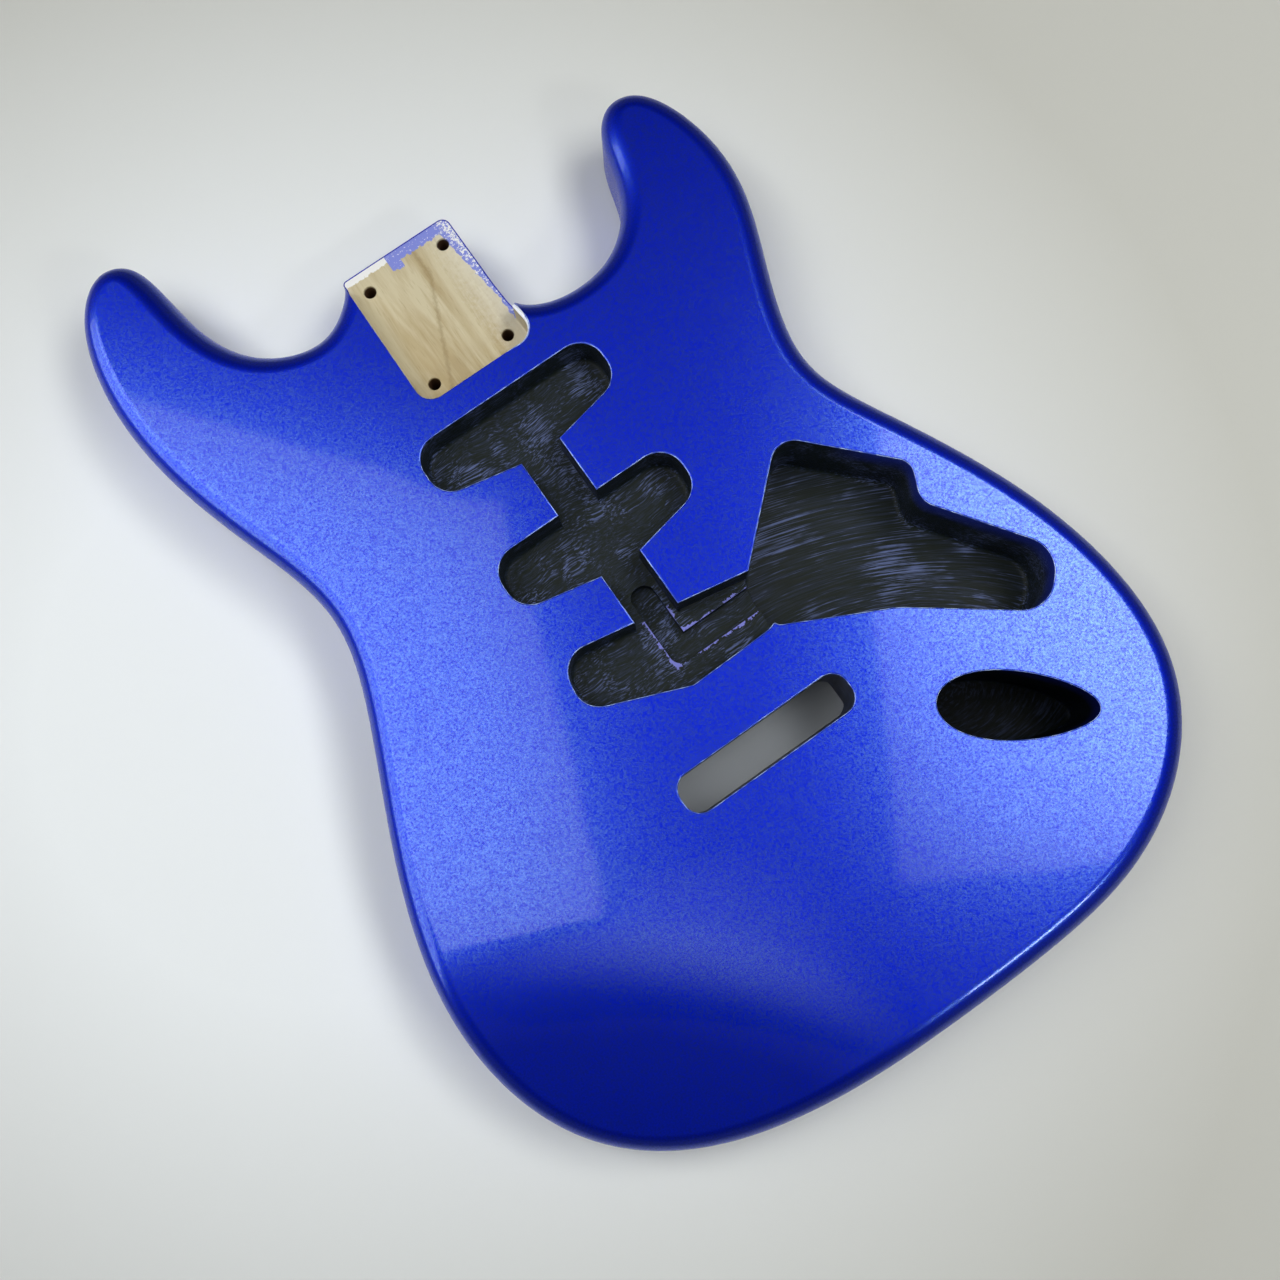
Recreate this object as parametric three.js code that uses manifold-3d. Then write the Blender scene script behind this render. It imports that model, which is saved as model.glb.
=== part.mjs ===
// Bare double cutaway electric guitar body: five glued boards, a sprayed finish and conductive coats.
// Millimetres. +X is the treble side, +Y points to the neck and +Z is the front.
// The origin is on the back face, on the neck centreline, under the heel wall of the neck pocket.

import * as THREE from "three";
import { mergeVertices } from "three/addons/utils/BufferGeometryUtils.js";
import Module from "manifold-3d";

const wasm = await Module();
wasm.setup();

// Overall sizes
const bodyWidth = 324;
const bodyLength = 456;
const bodyThickness = 44.45;
const edgeRadius = 10;

// Layers
const finishThickness = 0.5;
const coatThickness = 0.4;
const layerGap = 0.3;
const glueLine = 0.1;
const innerJointShare = 1 / 6;
const outerJointShare = 0.3148;

// Neck pocket and the heel under it
const pocketWidth = 56;
const pocketDepth = 15.9;
const pocketCornerRadius = 7.5;
const pocketTaper = 0.8;
const heelLength = 73.6;
const heelSideStep = 1;
const heelTrebleCorner = 4;
const heelBassCorner = 2;
const heelBlend = 15;
const heelEdgeRadius = 1.5;
const neckScrewDiameter = 5.2;
const neckScrewAcross = 38.1;
const neckScrewAlong = 50.8;
const neckScrewMiddle = 37.7;

// Pickup cavities, placed by the distance of their neck side from the heel wall
const pickupWidth = 88.4;
const pickupEndHeight = 23.5;
const pickupMiddleHeight = 32.5;
const pickupCornerRadius = 11;
const pickupDepth = 18;
const neckPickupPlace = 12.7;
const middlePickupPlace = 70.4;
const bridgePickupPlace = 126.6;
const bridgePickupOffset = 1.3;
const bridgePickupAngle = THREE.MathUtils.degToRad(-10.2);
const channelWidth = 18.6;

// Deeper groove for the wires, from the channel to the control cavity
const grooveWidth = 11;
const grooveDepth = 24;
const grooveOffset = 1;
const grooveStart = 110.5;
const grooveTurn = 142.3;
const grooveCornerRadius = 5;

// Control cavity, in a box measured from its corner at the neck and bass sides
const controlLength = 111.7;
const controlHeight = 121.6;
const controlDepth = 35;
const controlCornerRadius = 9.5;
const controlPlaceShares = [0.1127, -0.2077];

// Jack cavity
const jackLength = 64.5;
const jackWidth = 27.2;
const jackDepth = 35;
const jackAngle = THREE.MathUtils.degToRad(-37);
const jackPlaceShares = [0.297, -0.5254];
const jackEggShare = 0.2;

// Slot for the bridge block, and the spring cavity behind it
const slotLength = 80.9;
const slotWidth = 17;
const slotCornerRadius = 7;
const slotOffset = 5.75;
const slotPlace = 194.2;
const springDepth = 15.9;
const blockRecessLength = 84;
const blockRecessWidth = 26;
const springWellWidth = 57;
const springWellLength = 100;
const springCornerRadius = 9.5;

// Drilled wire passages
const jackWireDiameter = 8;
const groundWireDiameter = 6.2;
const groundWirePlace = 147;

// Comfort contours: the cut starts on an arch over a chord, bends at one radius, then runs straight
const forearm = {
  chordShares: [
    [-0.463, -0.408],
    [-0.0154, -0.6974],
  ],
  bulge: 28,
  bendRadius: 250,
  slope: THREE.MathUtils.degToRad(11),
};
const belly = {
  chordShares: [
    [-0.3765, 0.022],
    [-0.4784, -0.4386],
  ],
  bulge: 74,
  bendRadius: 90,
  slope: THREE.MathUtils.degToRad(26),
};

// How finely round shapes are divided
const facetAngle = THREE.MathUtils.degToRad(11.5);
const facetLength = 24;
const spanSteps = 12;
const edgeSteps = 4;
const cornerSteps = 3;
const bendSteps = 4;
const contourSteps = 14;
const eggSteps = 32;
const holeSides = 16;

const overrun = 5;
const weldDistance = 1e-4;

// The outline from the bass end of the heel round by the butt to the treble end of the heel.
// Each point is a share of the body's width and length.
const outlineShares = [
  [-0.1452, 0.1149],
  [-0.1915, 0.1195],
  [-0.2353, 0.1403],
  [-0.2654, 0.1743],
  [-0.2806, 0.2149],
  [-0.2901, 0.2567],
  [-0.3061, 0.2821],
  [-0.3364, 0.2904],
  [-0.3696, 0.2803],
  [-0.4026, 0.2471],
  [-0.4243, 0.1755],
  [-0.4122, 0.08],
  [-0.3713, -0.0174],
  [-0.3397, -0.114],
  [-0.3771, -0.2142],
  [-0.4379, -0.3159],
  [-0.4831, -0.4232],
  [-0.4864, -0.5307],
  [-0.4391, -0.6154],
  [-0.3461, -0.6722],
  [-0.2102, -0.7028],
  [-0.0309, -0.7116],
  [0.1482, -0.7107],
  [0.3002, -0.6956],
  [0.4185, -0.65],
  [0.4897, -0.5817],
  [0.5099, -0.4934],
  [0.4785, -0.3768],
  [0.4058, -0.2584],
  [0.3601, -0.1882],
  [0.3543, -0.1449],
  [0.3771, -0.0858],
  [0.4191, -0.0092],
  [0.4328, 0.0549],
  [0.4151, 0.1168],
  [0.3806, 0.1492],
  [0.3413, 0.1515],
  [0.3121, 0.1278],
  [0.2951, 0.0898],
  [0.2677, 0.0522],
  [0.2211, 0.0268],
  [0.1698, 0.0195],
  [0.1213, 0.0253],
];

// The ends of the outline, as shares of the heel blend away from the heel's sides.
const bassHeelShares = [
  [0, -0.25],
  [-0.07, -0.5],
  [-0.5, -0.99],
];
const trebleHeelShares = [
  [0.153, 1.24],
  [0.03, 1.7],
  [0, 2.35],
  [0, 3.05],
];

// Corners of the control cavity as shares of its length, height and corner radius.
const controlCornerShares = [
  [0, -0.52, 0.4],
  [0.401, -0.704, 4],
  [0.834, -1, 1.42],
  [1, -0.851, 1.42],
  [0.698, -0.46, 0.95],
  [0.759, -0.331, 0.74],
  [0.413, 0, 1],
  [0.027, -0.328, 0.3],
];

// How far the wall over a contour leans in on its way up to the uncut face, as a share of its rise.
const leanShare = 0.3;

// How far a contour's cut runs on past each end of its chord, as a share of the chord.
const contourReachShare = 0.3;

// How far in an edge may reach on the inside of a bend, as a share of the bend's radius.
const bendRoomShare = 0.9;

const heelHalfWidth = pocketWidth / 2 - heelSideStep;
const innerJoint = innerJointShare * bodyWidth;
const outerJoint = outerJointShare * bodyWidth;
const onBody = ([x, y]) => new THREE.Vector2(x * bodyWidth, y * bodyLength);

// Second derivatives of the natural cubic spline through values at the given knots.
function splineBends(knots, values) {
  const bends = values.map(() => 0);
  const ratios = values.map(() => 0);
  for (let i = 1; i < values.length - 1; i++) {
    const before = knots[i] - knots[i - 1];
    const after = knots[i + 1] - knots[i];
    const pull = (values[i + 1] - values[i]) / after - (values[i] - values[i - 1]) / before;
    const pivot = 2 * (before + after) - before * ratios[i - 1];
    ratios[i] = after / pivot;
    bends[i] = (6 * pull - before * bends[i - 1]) / pivot;
  }
  for (let i = values.length - 2; i > 0; i--) bends[i] -= ratios[i] * bends[i + 1];
  return bends;
}

// Fine points of a smooth curve through the given points.
function smoothCurve(points) {
  const knots = [0];
  for (let i = 1; i < points.length; i++) {
    knots.push(knots[i - 1] + Math.sqrt(points[i].distanceTo(points[i - 1])));
  }
  const bends = ["x", "y"].map((axis) => splineBends(knots, points.map((point) => point[axis])));
  const curve = [];
  for (let i = 0; i < points.length - 1; i++) {
    const span = knots[i + 1] - knots[i];
    for (let step = i ? 1 : 0; step <= spanSteps; step++) {
      const b = step / spanSteps;
      const a = 1 - b;
      const bent = (axis, bend) =>
        a * points[i][axis] +
        b * points[i + 1][axis] -
        (((a - a ** 3) * bend[i] + (b - b ** 3) * bend[i + 1]) * span ** 2) / 6;
      curve.push(new THREE.Vector2(bent("x", bends[0]), bent("y", bends[1])));
    }
  }
  return curve;
}

// Keeps the points of a fine curve where it has turned or run far enough, each with its outward side.
function thinned(curve) {
  const kept = [];
  let heading = null;
  let run = 0;
  for (let i = 0; i < curve.length; i++) {
    const ahead = curve[Math.min(i + 1, curve.length - 1)];
    const behind = curve[Math.max(i - 1, 0)];
    const along = ahead.clone().sub(behind).normalize();
    if (i) run += curve[i].distanceTo(curve[i - 1]);
    const turned = heading ? Math.abs(Math.asin(THREE.MathUtils.clamp(heading.cross(along), -1, 1))) : 0;
    const atEnd = i === 0 || i === curve.length - 1;
    if (atEnd || turned > facetAngle || run > facetLength) {
      kept.push({ point: curve[i], outward: new THREE.Vector2(along.y, -along.x) });
      heading = along;
      run = 0;
    }
  }
  return kept;
}

// A heel corner at the mouth of the pocket. side is -1 for bass and 1 for treble.
function heelCorner(side, radius) {
  const places = [];
  for (let step = 0; step <= cornerSteps; step++) {
    const turn = (Math.PI / 2) * (step / cornerSteps + (side < 0 ? 1 : 0));
    const at = (inset) => {
      const left = Math.max(radius - inset, 0);
      return new THREE.Vector2(
        side * (heelHalfWidth - inset - left) + left * Math.cos(turn),
        heelLength - inset - left + left * Math.sin(turn),
      );
    };
    places.push({ at, backRadius: heelEdgeRadius });
  }
  return places;
}

// The radius of the bend through three points, without limit where it turns the other way.
function bendThrough(before, point, after) {
  const turn = point.clone().sub(before).cross(after.clone().sub(point));
  if (turn <= 0) return Infinity;
  return (before.distanceTo(point) * point.distanceTo(after) * after.distanceTo(before)) / (2 * turn);
}

// How far an edge can reach in at each point of an outline: no further than the bends near it allow.
function edgeRooms(points) {
  const bends = points.map((point, i) => {
    const atEnd = i === 0 || i === points.length - 1;
    return atEnd ? Infinity : bendThrough(points[i - 1], point, points[i + 1]);
  });
  return points.map((point) => {
    const near = bends.filter((bend, i) => points[i].distanceTo(point) < 2 * edgeRadius);
    return bendRoomShare * Math.min(...near);
  });
}

// The back edge is nearly square round the heel, so that a neck plate lies flat on it.
function backRadiusAt(point) {
  const fromHeel = point.y > 0 ? (Math.abs(point.x) - heelHalfWidth) / heelBlend : 1;
  return THREE.MathUtils.lerp(heelEdgeRadius, edgeRadius, THREE.MathUtils.clamp(fromHeel, 0, 1));
}

// The outline, counterclockwise from the front: each place gives its point at an inset.
function outlinePlaces() {
  const bassEnd = bassHeelShares.map(
    ([x, y]) => new THREE.Vector2(x * heelBlend - heelHalfWidth, heelLength + y * heelBlend),
  );
  const trebleEnd = trebleHeelShares.map(
    ([x, y]) => new THREE.Vector2(x * heelBlend + heelHalfWidth, y * heelBlend),
  );
  const kept = thinned(smoothCurve([...bassEnd, ...outlineShares.map(onBody), ...trebleEnd]));
  const rooms = edgeRooms(kept.map(({ point }) => point));
  const places = kept.map(({ point, outward }, i) => {
    const nearHeel = Math.abs(point.x) < heelHalfWidth + heelBlend;
    const at = (inset) => {
      const place = point.clone().addScaledVector(outward, -Math.min(inset, rooms[i]));
      if (nearHeel) place.y = Math.min(place.y, heelLength - inset);
      return place;
    };
    return { at, backRadius: backRadiusAt(point) };
  });
  return [...places, ...heelCorner(1, heelTrebleCorner), ...heelCorner(-1, heelBassCorner)];
}
const outline = outlinePlaces();

// A closed geometry made into a solid that can be cut and joined.
function solidOf(geometry) {
  geometry.deleteAttribute("normal");
  geometry.deleteAttribute("uv");
  const merged = mergeVertices(geometry, weldDistance);
  const corners = merged.index.array;
  const triVerts = [];
  for (let i = 0; i < corners.length; i += 3) {
    const [a, b, c] = [corners[i], corners[i + 1], corners[i + 2]];
    if (a !== b && b !== c && c !== a) triVerts.push(a, b, c);
  }
  const mesh = new wasm.Mesh({
    numProp: 3,
    vertProperties: merged.attributes.position.array,
    triVerts: new Uint32Array(triVerts),
  });
  return new wasm.Manifold(mesh);
}

// A geometry from triangles, each three Vector3 corners.
function geometryOf(triangles) {
  return new THREE.BufferGeometry().setFromPoints(triangles.flat());
}

function extruded(shape, bottom, top) {
  const geometry = new THREE.ExtrudeGeometry(shape, {
    depth: top - bottom,
    bevelEnabled: false,
    curveSegments: cornerSteps,
  });
  return solidOf(geometry.translate(0, 0, bottom));
}

// A solid through rings of equal counts, from the lowest up, closed by flat caps.
function lofted(rings) {
  const triangles = [];
  const count = rings[0].length;
  for (let level = 0; level < rings.length - 1; level++) {
    for (let i = 0; i < count; i++) {
      const next = (i + 1) % count;
      const [a, b] = [rings[level][i], rings[level][next]];
      const [c, d] = [rings[level + 1][i], rings[level + 1][next]];
      triangles.push([a, b, d], [a, d, c]);
    }
  }
  const flat = (ring) => ring.map(({ x, y }) => new THREE.Vector2(x, y));
  const cap = (ring) => THREE.ShapeUtils.triangulateShape(flat(ring), []);
  const [lowest, highest] = [rings[0], rings[rings.length - 1]];
  for (const [a, b, c] of cap(lowest)) triangles.push([lowest[a], lowest[c], lowest[b]]);
  for (const [a, b, c] of cap(highest)) triangles.push([highest[a], highest[b], highest[c]]);
  return solidOf(geometryOf(triangles));
}

// A solid between two grids of points that share their places seen from the front.
function blockBetween(lower, upper) {
  const triangles = [];
  const quad = (a, b, c, d) => triangles.push([a, b, c], [a, c, d]);
  const [rows, columns] = [lower.length - 1, lower[0].length - 1];
  for (let i = 0; i < rows; i++) {
    for (let j = 0; j < columns; j++) {
      quad(lower[i][j], lower[i][j + 1], lower[i + 1][j + 1], lower[i + 1][j]);
      quad(upper[i][j], upper[i + 1][j], upper[i + 1][j + 1], upper[i][j + 1]);
    }
    quad(lower[i][0], lower[i + 1][0], upper[i + 1][0], upper[i][0]);
    quad(lower[i + 1][columns], lower[i][columns], upper[i][columns], upper[i + 1][columns]);
  }
  for (let j = 0; j < columns; j++) {
    quad(lower[0][j + 1], lower[0][j], upper[0][j], upper[0][j + 1]);
    quad(lower[rows][j], lower[rows][j + 1], upper[rows][j + 1], upper[rows][j]);
  }
  return solidOf(geometryOf(triangles));
}

// The chord of a contour, with the direction along it and the one towards the body's middle.
function chordOf(contour) {
  const [start, end] = contour.chordShares.map(onBody);
  const length = start.distanceTo(end);
  const along = end.clone().sub(start).divideScalar(length);
  return { start, length, along, inward: new THREE.Vector2(-along.y, along.x) };
}
const archOf = (contour, share) => contour.bulge * 4 * share * (1 - share);

// How far below the flat face a contour lies, at a distance past the start of its cut.
function depthPast(contour, distance) {
  const bendRun = contour.bendRadius * Math.sin(contour.slope);
  const bent = THREE.MathUtils.clamp(distance, 0, bendRun);
  const straight = Math.max(distance - bendRun, 0);
  const bentDepth = contour.bendRadius - Math.sqrt(contour.bendRadius ** 2 - bent ** 2);
  return bentDepth + straight * Math.tan(contour.slope);
}

function contourDepth(contour, place) {
  const { start, length, along, inward } = chordOf(contour);
  const offset = place.clone().sub(start);
  const past = archOf(contour, offset.dot(along) / length) - offset.dot(inward);
  return depthPast(contour, past);
}

// What a contour takes off the face. side is 1 for the front and -1 for the back.
function contourCutter(contour, side, inset) {
  const { start, length, along, inward } = chordOf(contour);
  const face = bodyThickness / 2 - inset;
  const bendRun = contour.bendRadius * Math.sin(contour.slope);
  const step = bendRun / bendSteps;
  const rows = [{ past: -step, depth: -depthPast(contour, step) }];
  for (let i = 1; i <= bendSteps; i++) rows.push({ past: i * step, depth: depthPast(contour, i * step) });
  const far = bendRun + bodyWidth / 2;
  rows.push({ past: far, depth: depthPast(contour, far) });
  const grid = (heightOf) =>
    rows.map(({ past, depth }) => {
      const row = [];
      for (let i = 0; i <= contourSteps; i++) {
        const share = (i / contourSteps) * (1 + 2 * contourReachShare) - contourReachShare;
        const place = start
          .clone()
          .addScaledVector(along, share * length)
          .addScaledVector(inward, archOf(contour, share) - past);
        row.push(new THREE.Vector3(place.x, place.y, bodyThickness / 2 + side * heightOf(depth)));
      }
      return row;
    });
  const surface = grid((depth) => face - depth);
  const beyond = grid(() => face + overrun);
  return side > 0 ? blockBetween(surface, beyond) : blockBetween(beyond, surface);
}

// Rings of one rounded edge, from the middle of the wall to the face, and up to the uncut face.
function roundedEdge(contour, side, inset) {
  const face = bodyThickness / 2 - inset;
  const rings = [];
  for (let step = 0; step <= edgeSteps + 1; step++) rings.push([]);
  for (const { at, backRadius } of outline) {
    const radius = Math.max((side < 0 ? backRadius : edgeRadius) - inset, weldDistance);
    const shoulderDepth = contourDepth(contour, at(inset + radius));
    const lean = Math.atan((contourDepth(contour, at(inset)) - shoulderDepth) / radius);
    const centre = face - shoulderDepth - radius / Math.cos(lean);
    const add = (ring, depthIn, height) => {
      const { x, y } = at(depthIn);
      ring.push(new THREE.Vector3(x, y, bodyThickness / 2 + side * height));
    };
    for (let step = 0; step <= edgeSteps; step++) {
      const turn = ((Math.PI / 2 - lean) * step) / edgeSteps;
      add(rings[step], inset + radius * (1 - Math.cos(turn)), centre + radius * Math.sin(turn));
    }
    const rise = face - centre - radius * Math.cos(lean);
    add(rings[edgeSteps + 1], inset + radius * (1 - Math.sin(lean)) + rise * leanShare, face);
  }
  return rings;
}

// The whole body without cavities, drawn in by an inset on every side.
function bodySolid(inset) {
  const back = roundedEdge(belly, -1, inset);
  const front = roundedEdge(forearm, 1, inset);
  return lofted([...back.reverse(), ...front])
    .subtract(contourCutter(forearm, 1, inset))
    .subtract(contourCutter(belly, -1, inset));
}

// A shape with rounded corners, counterclockwise, grown outwards. Each corner is x, y and radius.
function roundedShape(corners, grow = 0) {
  const shape = new THREE.Shape();
  const count = corners.length;
  const pointAt = (i) => {
    const [x, y] = corners[(i + count) % count];
    return new THREE.Vector2(x, y);
  };
  for (let i = 0; i < count; i++) {
    const into = pointAt(i).sub(pointAt(i - 1)).normalize();
    const out = pointAt(i + 1).sub(pointAt(i)).normalize();
    const sideIn = new THREE.Vector2(into.y, -into.x);
    const sideOut = new THREE.Vector2(out.y, -out.x);
    const turn = Math.atan2(into.cross(out), into.dot(out));
    const bulge = Math.sign(turn);
    const radius = Math.max(corners[i][2] + bulge * grow, weldDistance);
    const shift = grow / (1 + sideIn.dot(sideOut));
    const corner = pointAt(i).addScaledVector(sideIn, shift).addScaledVector(sideOut, shift);
    const centre = corner
      .addScaledVector(into, -radius * Math.tan(Math.abs(turn) / 2))
      .addScaledVector(sideIn, -radius * bulge);
    const from = sideIn.multiplyScalar(bulge).angle();
    const to = sideOut.multiplyScalar(bulge).angle();
    shape.absarc(centre.x, centre.y, radius, from, to, bulge < 0);
  }
  return shape;
}

function roundedBox(left, right, low, high, radius) {
  return [
    [left, low, radius],
    [right, low, radius],
    [right, high, radius],
    [left, high, radius],
  ];
}

// A cavity cut down from above the front face to a depth, grown by the thickness of what lines it.
function cavity(shape, depth, grow) {
  return extruded(shape, bodyThickness - depth - grow, bodyThickness + overrun);
}

function pickupCavity(place, grow) {
  const half = pickupWidth / 2;
  const corners = [
    [-half, 0, pickupCornerRadius],
    [-half, -pickupEndHeight, pickupCornerRadius],
    [0, -pickupMiddleHeight, 0],
    [half, -pickupEndHeight, pickupCornerRadius],
    [half, 0, pickupCornerRadius],
  ];
  return cavity(roundedShape(corners, grow), pickupDepth, grow).translate([0, -place, 0]);
}

function turnedCavity(solid) {
  return solid
    .rotate([0, 0, THREE.MathUtils.radToDeg(bridgePickupAngle)])
    .translate([bridgePickupOffset, -bridgePickupPlace, 0]);
}

function channels(grow) {
  const half = channelWidth / 2;
  const along = roundedBox(-half, half, -bridgePickupPlace - half, -neckPickupPlace - half, 0);
  const [controlLeft] = controlPlaceShares.map((share) => share * bodyWidth);
  const open = roundedBox(half, controlLeft + half, -pickupEndHeight, 0, 0);
  return cavity(roundedShape(along, grow), pickupDepth, grow).add(
    turnedCavity(cavity(roundedShape(open, grow), pickupDepth, grow)),
  );
}

function wireGroove(grow) {
  const half = grooveWidth / 2;
  const left = grooveOffset - half;
  const right = grooveOffset + half;
  const end = controlPlaceShares[0] * bodyWidth + half;
  const corners = [
    [left, -grooveStart, grooveCornerRadius],
    [left, -grooveTurn - half, grooveCornerRadius],
    [end, -grooveTurn - half, 0],
    [end, -grooveTurn + half, 0],
    [right, -grooveTurn + half, 0],
    [right, -grooveStart, grooveCornerRadius],
  ];
  return cavity(roundedShape(corners, grow), grooveDepth, grow);
}

function controlCavity(grow) {
  const corner = onBody(controlPlaceShares);
  const corners = controlCornerShares.map(([x, y, radius]) => [
    corner.x + x * controlLength,
    corner.y + y * controlHeight,
    radius * controlCornerRadius,
  ]);
  return cavity(roundedShape(corners, grow), controlDepth, grow);
}

// The pickup, wire and control cavities as one space.
function mainCavities(grow) {
  return pickupCavity(neckPickupPlace, grow)
    .add(pickupCavity(middlePickupPlace, grow))
    .add(turnedCavity(pickupCavity(0, grow)))
    .add(channels(grow))
    .add(wireGroove(grow))
    .add(controlCavity(grow));
}

function jackCavity(grow) {
  const points = [];
  for (let i = 0; i < eggSteps; i++) {
    const turn = (2 * Math.PI * i) / eggSteps;
    const slim = 1 - jackEggShare * Math.cos(turn);
    const place = new THREE.Vector2(
      (jackLength / 2) * Math.cos(turn),
      (jackWidth / 2) * Math.sin(turn) * slim,
    );
    const along = new THREE.Vector2(
      (-jackLength / 2) * Math.sin(turn),
      (jackWidth / 2) * (Math.cos(turn) * slim + jackEggShare * Math.sin(turn) ** 2),
    ).normalize();
    points.push(place.add(new THREE.Vector2(along.y, -along.x).multiplyScalar(grow)));
  }
  const { x, y } = onBody(jackPlaceShares);
  return cavity(new THREE.Shape(points), jackDepth, grow)
    .rotate([0, 0, THREE.MathUtils.radToDeg(jackAngle)])
    .translate([x, y, 0]);
}

function neckPocket() {
  const half = pocketWidth / 2;
  const far = heelLength + overrun;
  const corners = [
    [-half, 0, pocketCornerRadius],
    [half, 0, pocketCornerRadius],
    [half, far, 0],
    [pocketTaper - half, far, 0],
  ];
  return cavity(roundedShape(corners), pocketDepth, 0);
}

function roundHole(diameter, length) {
  return solidOf(new THREE.CylinderGeometry(diameter / 2, diameter / 2, length, holeSides));
}

function neckScrewHoles() {
  const hole = roundHole(neckScrewDiameter, bodyThickness).rotate([90, 0, 0]);
  let holes = null;
  for (const x of [-neckScrewAcross / 2, neckScrewAcross / 2]) {
    for (const y of [-neckScrewAlong / 2, neckScrewAlong / 2]) {
      const placed = hole.translate([x, neckScrewMiddle + y, bodyThickness / 2 - overrun]);
      holes = holes ? holes.add(placed) : placed;
    }
  }
  return holes;
}

// The slot that goes right through, and the spring cavity that opens to the back.
function bridgeRoutes() {
  const slot = roundedBox(-slotLength / 2, slotLength / 2, -slotWidth / 2, slotWidth / 2, slotCornerRadius);
  const recess = roundedBox(
    -blockRecessLength / 2,
    blockRecessLength / 2,
    -blockRecessWidth / 2,
    blockRecessWidth / 2,
    springCornerRadius,
  );
  const well = roundedBox(
    -springWellWidth / 2,
    springWellWidth / 2,
    -slotPlace,
    springWellLength - slotPlace,
    springCornerRadius,
  );
  return extruded(roundedShape(slot), -overrun, bodyThickness + overrun)
    .add(extruded(roundedShape(recess), -overrun, springDepth))
    .translate([slotOffset, -slotPlace, 0])
    .add(extruded(roundedShape(well), -overrun, springDepth));
}

// Drilled passages: along a glue joint to the jack cavity, and across the blank to the spring cavity.
function wirePassages() {
  const jackHeight = bodyThickness - Math.min(controlDepth, jackDepth) + jackWireDiameter;
  const control = onBody(controlPlaceShares);
  const jack = onBody(jackPlaceShares);
  const jackRun = jack.y - control.y + controlHeight / 2;
  const toJack = roundHole(jackWireDiameter, Math.abs(jackRun)).translate([
    outerJoint,
    jack.y - jackRun / 2,
    jackHeight,
  ]);
  const groundHeight = (bodyThickness - controlDepth + springDepth) / 2;
  const toSprings = roundHole(groundWireDiameter, control.x)
    .rotate([0, 0, 90])
    .translate([control.x, -groundWirePlace, groundHeight]);
  return toJack.add(toSprings);
}

// The part of a solid between two heights.
function sliced(solid, bottom, top) {
  const slab = roundedBox(-bodyWidth, bodyWidth, -bodyLength, bodyLength, 0);
  return solid.intersect(extruded(roundedShape(slab), bottom, top));
}

const passages = wirePassages();
const openRoutes = neckPocket().add(bridgeRoutes()).add(neckScrewHoles());

function finishSolid() {
  return bodySolid(0)
    .subtract(bodySolid(finishThickness))
    .subtract(openRoutes)
    .subtract(mainCavities(0))
    .subtract(jackCavity(0));
}

// A coat on the walls and floors of cavities, up to just under the finish.
function coatSolid(cavities) {
  const outer = sliced(cavities(coatThickness), 0, bodyThickness - finishThickness - layerGap);
  return outer.subtract(cavities(0)).subtract(passages);
}

function woodSolid() {
  const lining = coatThickness + layerGap;
  return bodySolid(finishThickness + layerGap)
    .subtract(openRoutes)
    .subtract(mainCavities(lining))
    .subtract(jackCavity(lining))
    .subtract(passages);
}

// One board of the glued blank, between two glue joints.
function boardSolid(wood, left, right) {
  const board = roundedBox(left + glueLine / 2, right - glueLine / 2, -bodyLength, bodyLength, 0);
  return wood.intersect(extruded(roundedShape(board), 0, bodyThickness));
}

const paint = (color, roughness, metalness) =>
  new THREE.MeshStandardMaterial({ color, roughness, metalness });
const woodMaterial = paint(0xc9b593, 0.7, 0);
const finishMaterial = paint(0x2233c0, 0.18, 0.55);
const coatMaterial = paint(0x1c1d22, 0.6, 0.1);

function meshOf(name, solid, material) {
  const { vertProperties, triVerts } = solid.getMesh();
  const geometry = new THREE.BufferGeometry();
  geometry.setAttribute("position", new THREE.BufferAttribute(vertProperties, 3));
  geometry.setIndex(new THREE.BufferAttribute(triVerts, 1));
  const faceted = geometry.toNonIndexed();
  faceted.computeVertexNormals();
  const mesh = new THREE.Mesh(faceted, material);
  mesh.name = name;
  return mesh;
}

const guitarBody = new THREE.Group();
guitarBody.name = "guitar_body";

const wood = woodSolid();
const boards = [
  ["bass_outer_board", -bodyWidth, -outerJoint],
  ["bass_inner_board", -outerJoint, -innerJoint],
  ["centre_board", -innerJoint, innerJoint],
  ["treble_inner_board", innerJoint, outerJoint],
  ["treble_outer_board", outerJoint, bodyWidth],
];
for (const [name, left, right] of boards) {
  guitarBody.add(meshOf(name, boardSolid(wood, left, right), woodMaterial));
}

// The flat back of the finish is a sheet of its own, parted from the edges just above its thickness.
const finish = finishSolid();
const partingHeight = finishThickness + layerGap / 2;
const frontFinish = sliced(finish, partingHeight, bodyThickness + overrun);
guitarBody.add(meshOf("front_and_edge_finish", frontFinish, finishMaterial));
guitarBody.add(meshOf("back_finish", sliced(finish, -overrun, partingHeight), finishMaterial));

guitarBody.add(meshOf("main_cavity_conductive_coat", coatSolid(mainCavities), coatMaterial));
guitarBody.add(meshOf("jack_cavity_conductive_coat", coatSolid(jackCavity), coatMaterial));

export default guitarBody;
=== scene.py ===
# A bare blue metallic guitar body, lying on its back on a pale table.
# Lengths are in millimetres until a mesh is finished, and then become metres.
import math

import bmesh
import bpy
import numpy as np
from mathutils import Matrix, Vector
from mathutils.geometry import delaunay_2d_cdt


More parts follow.
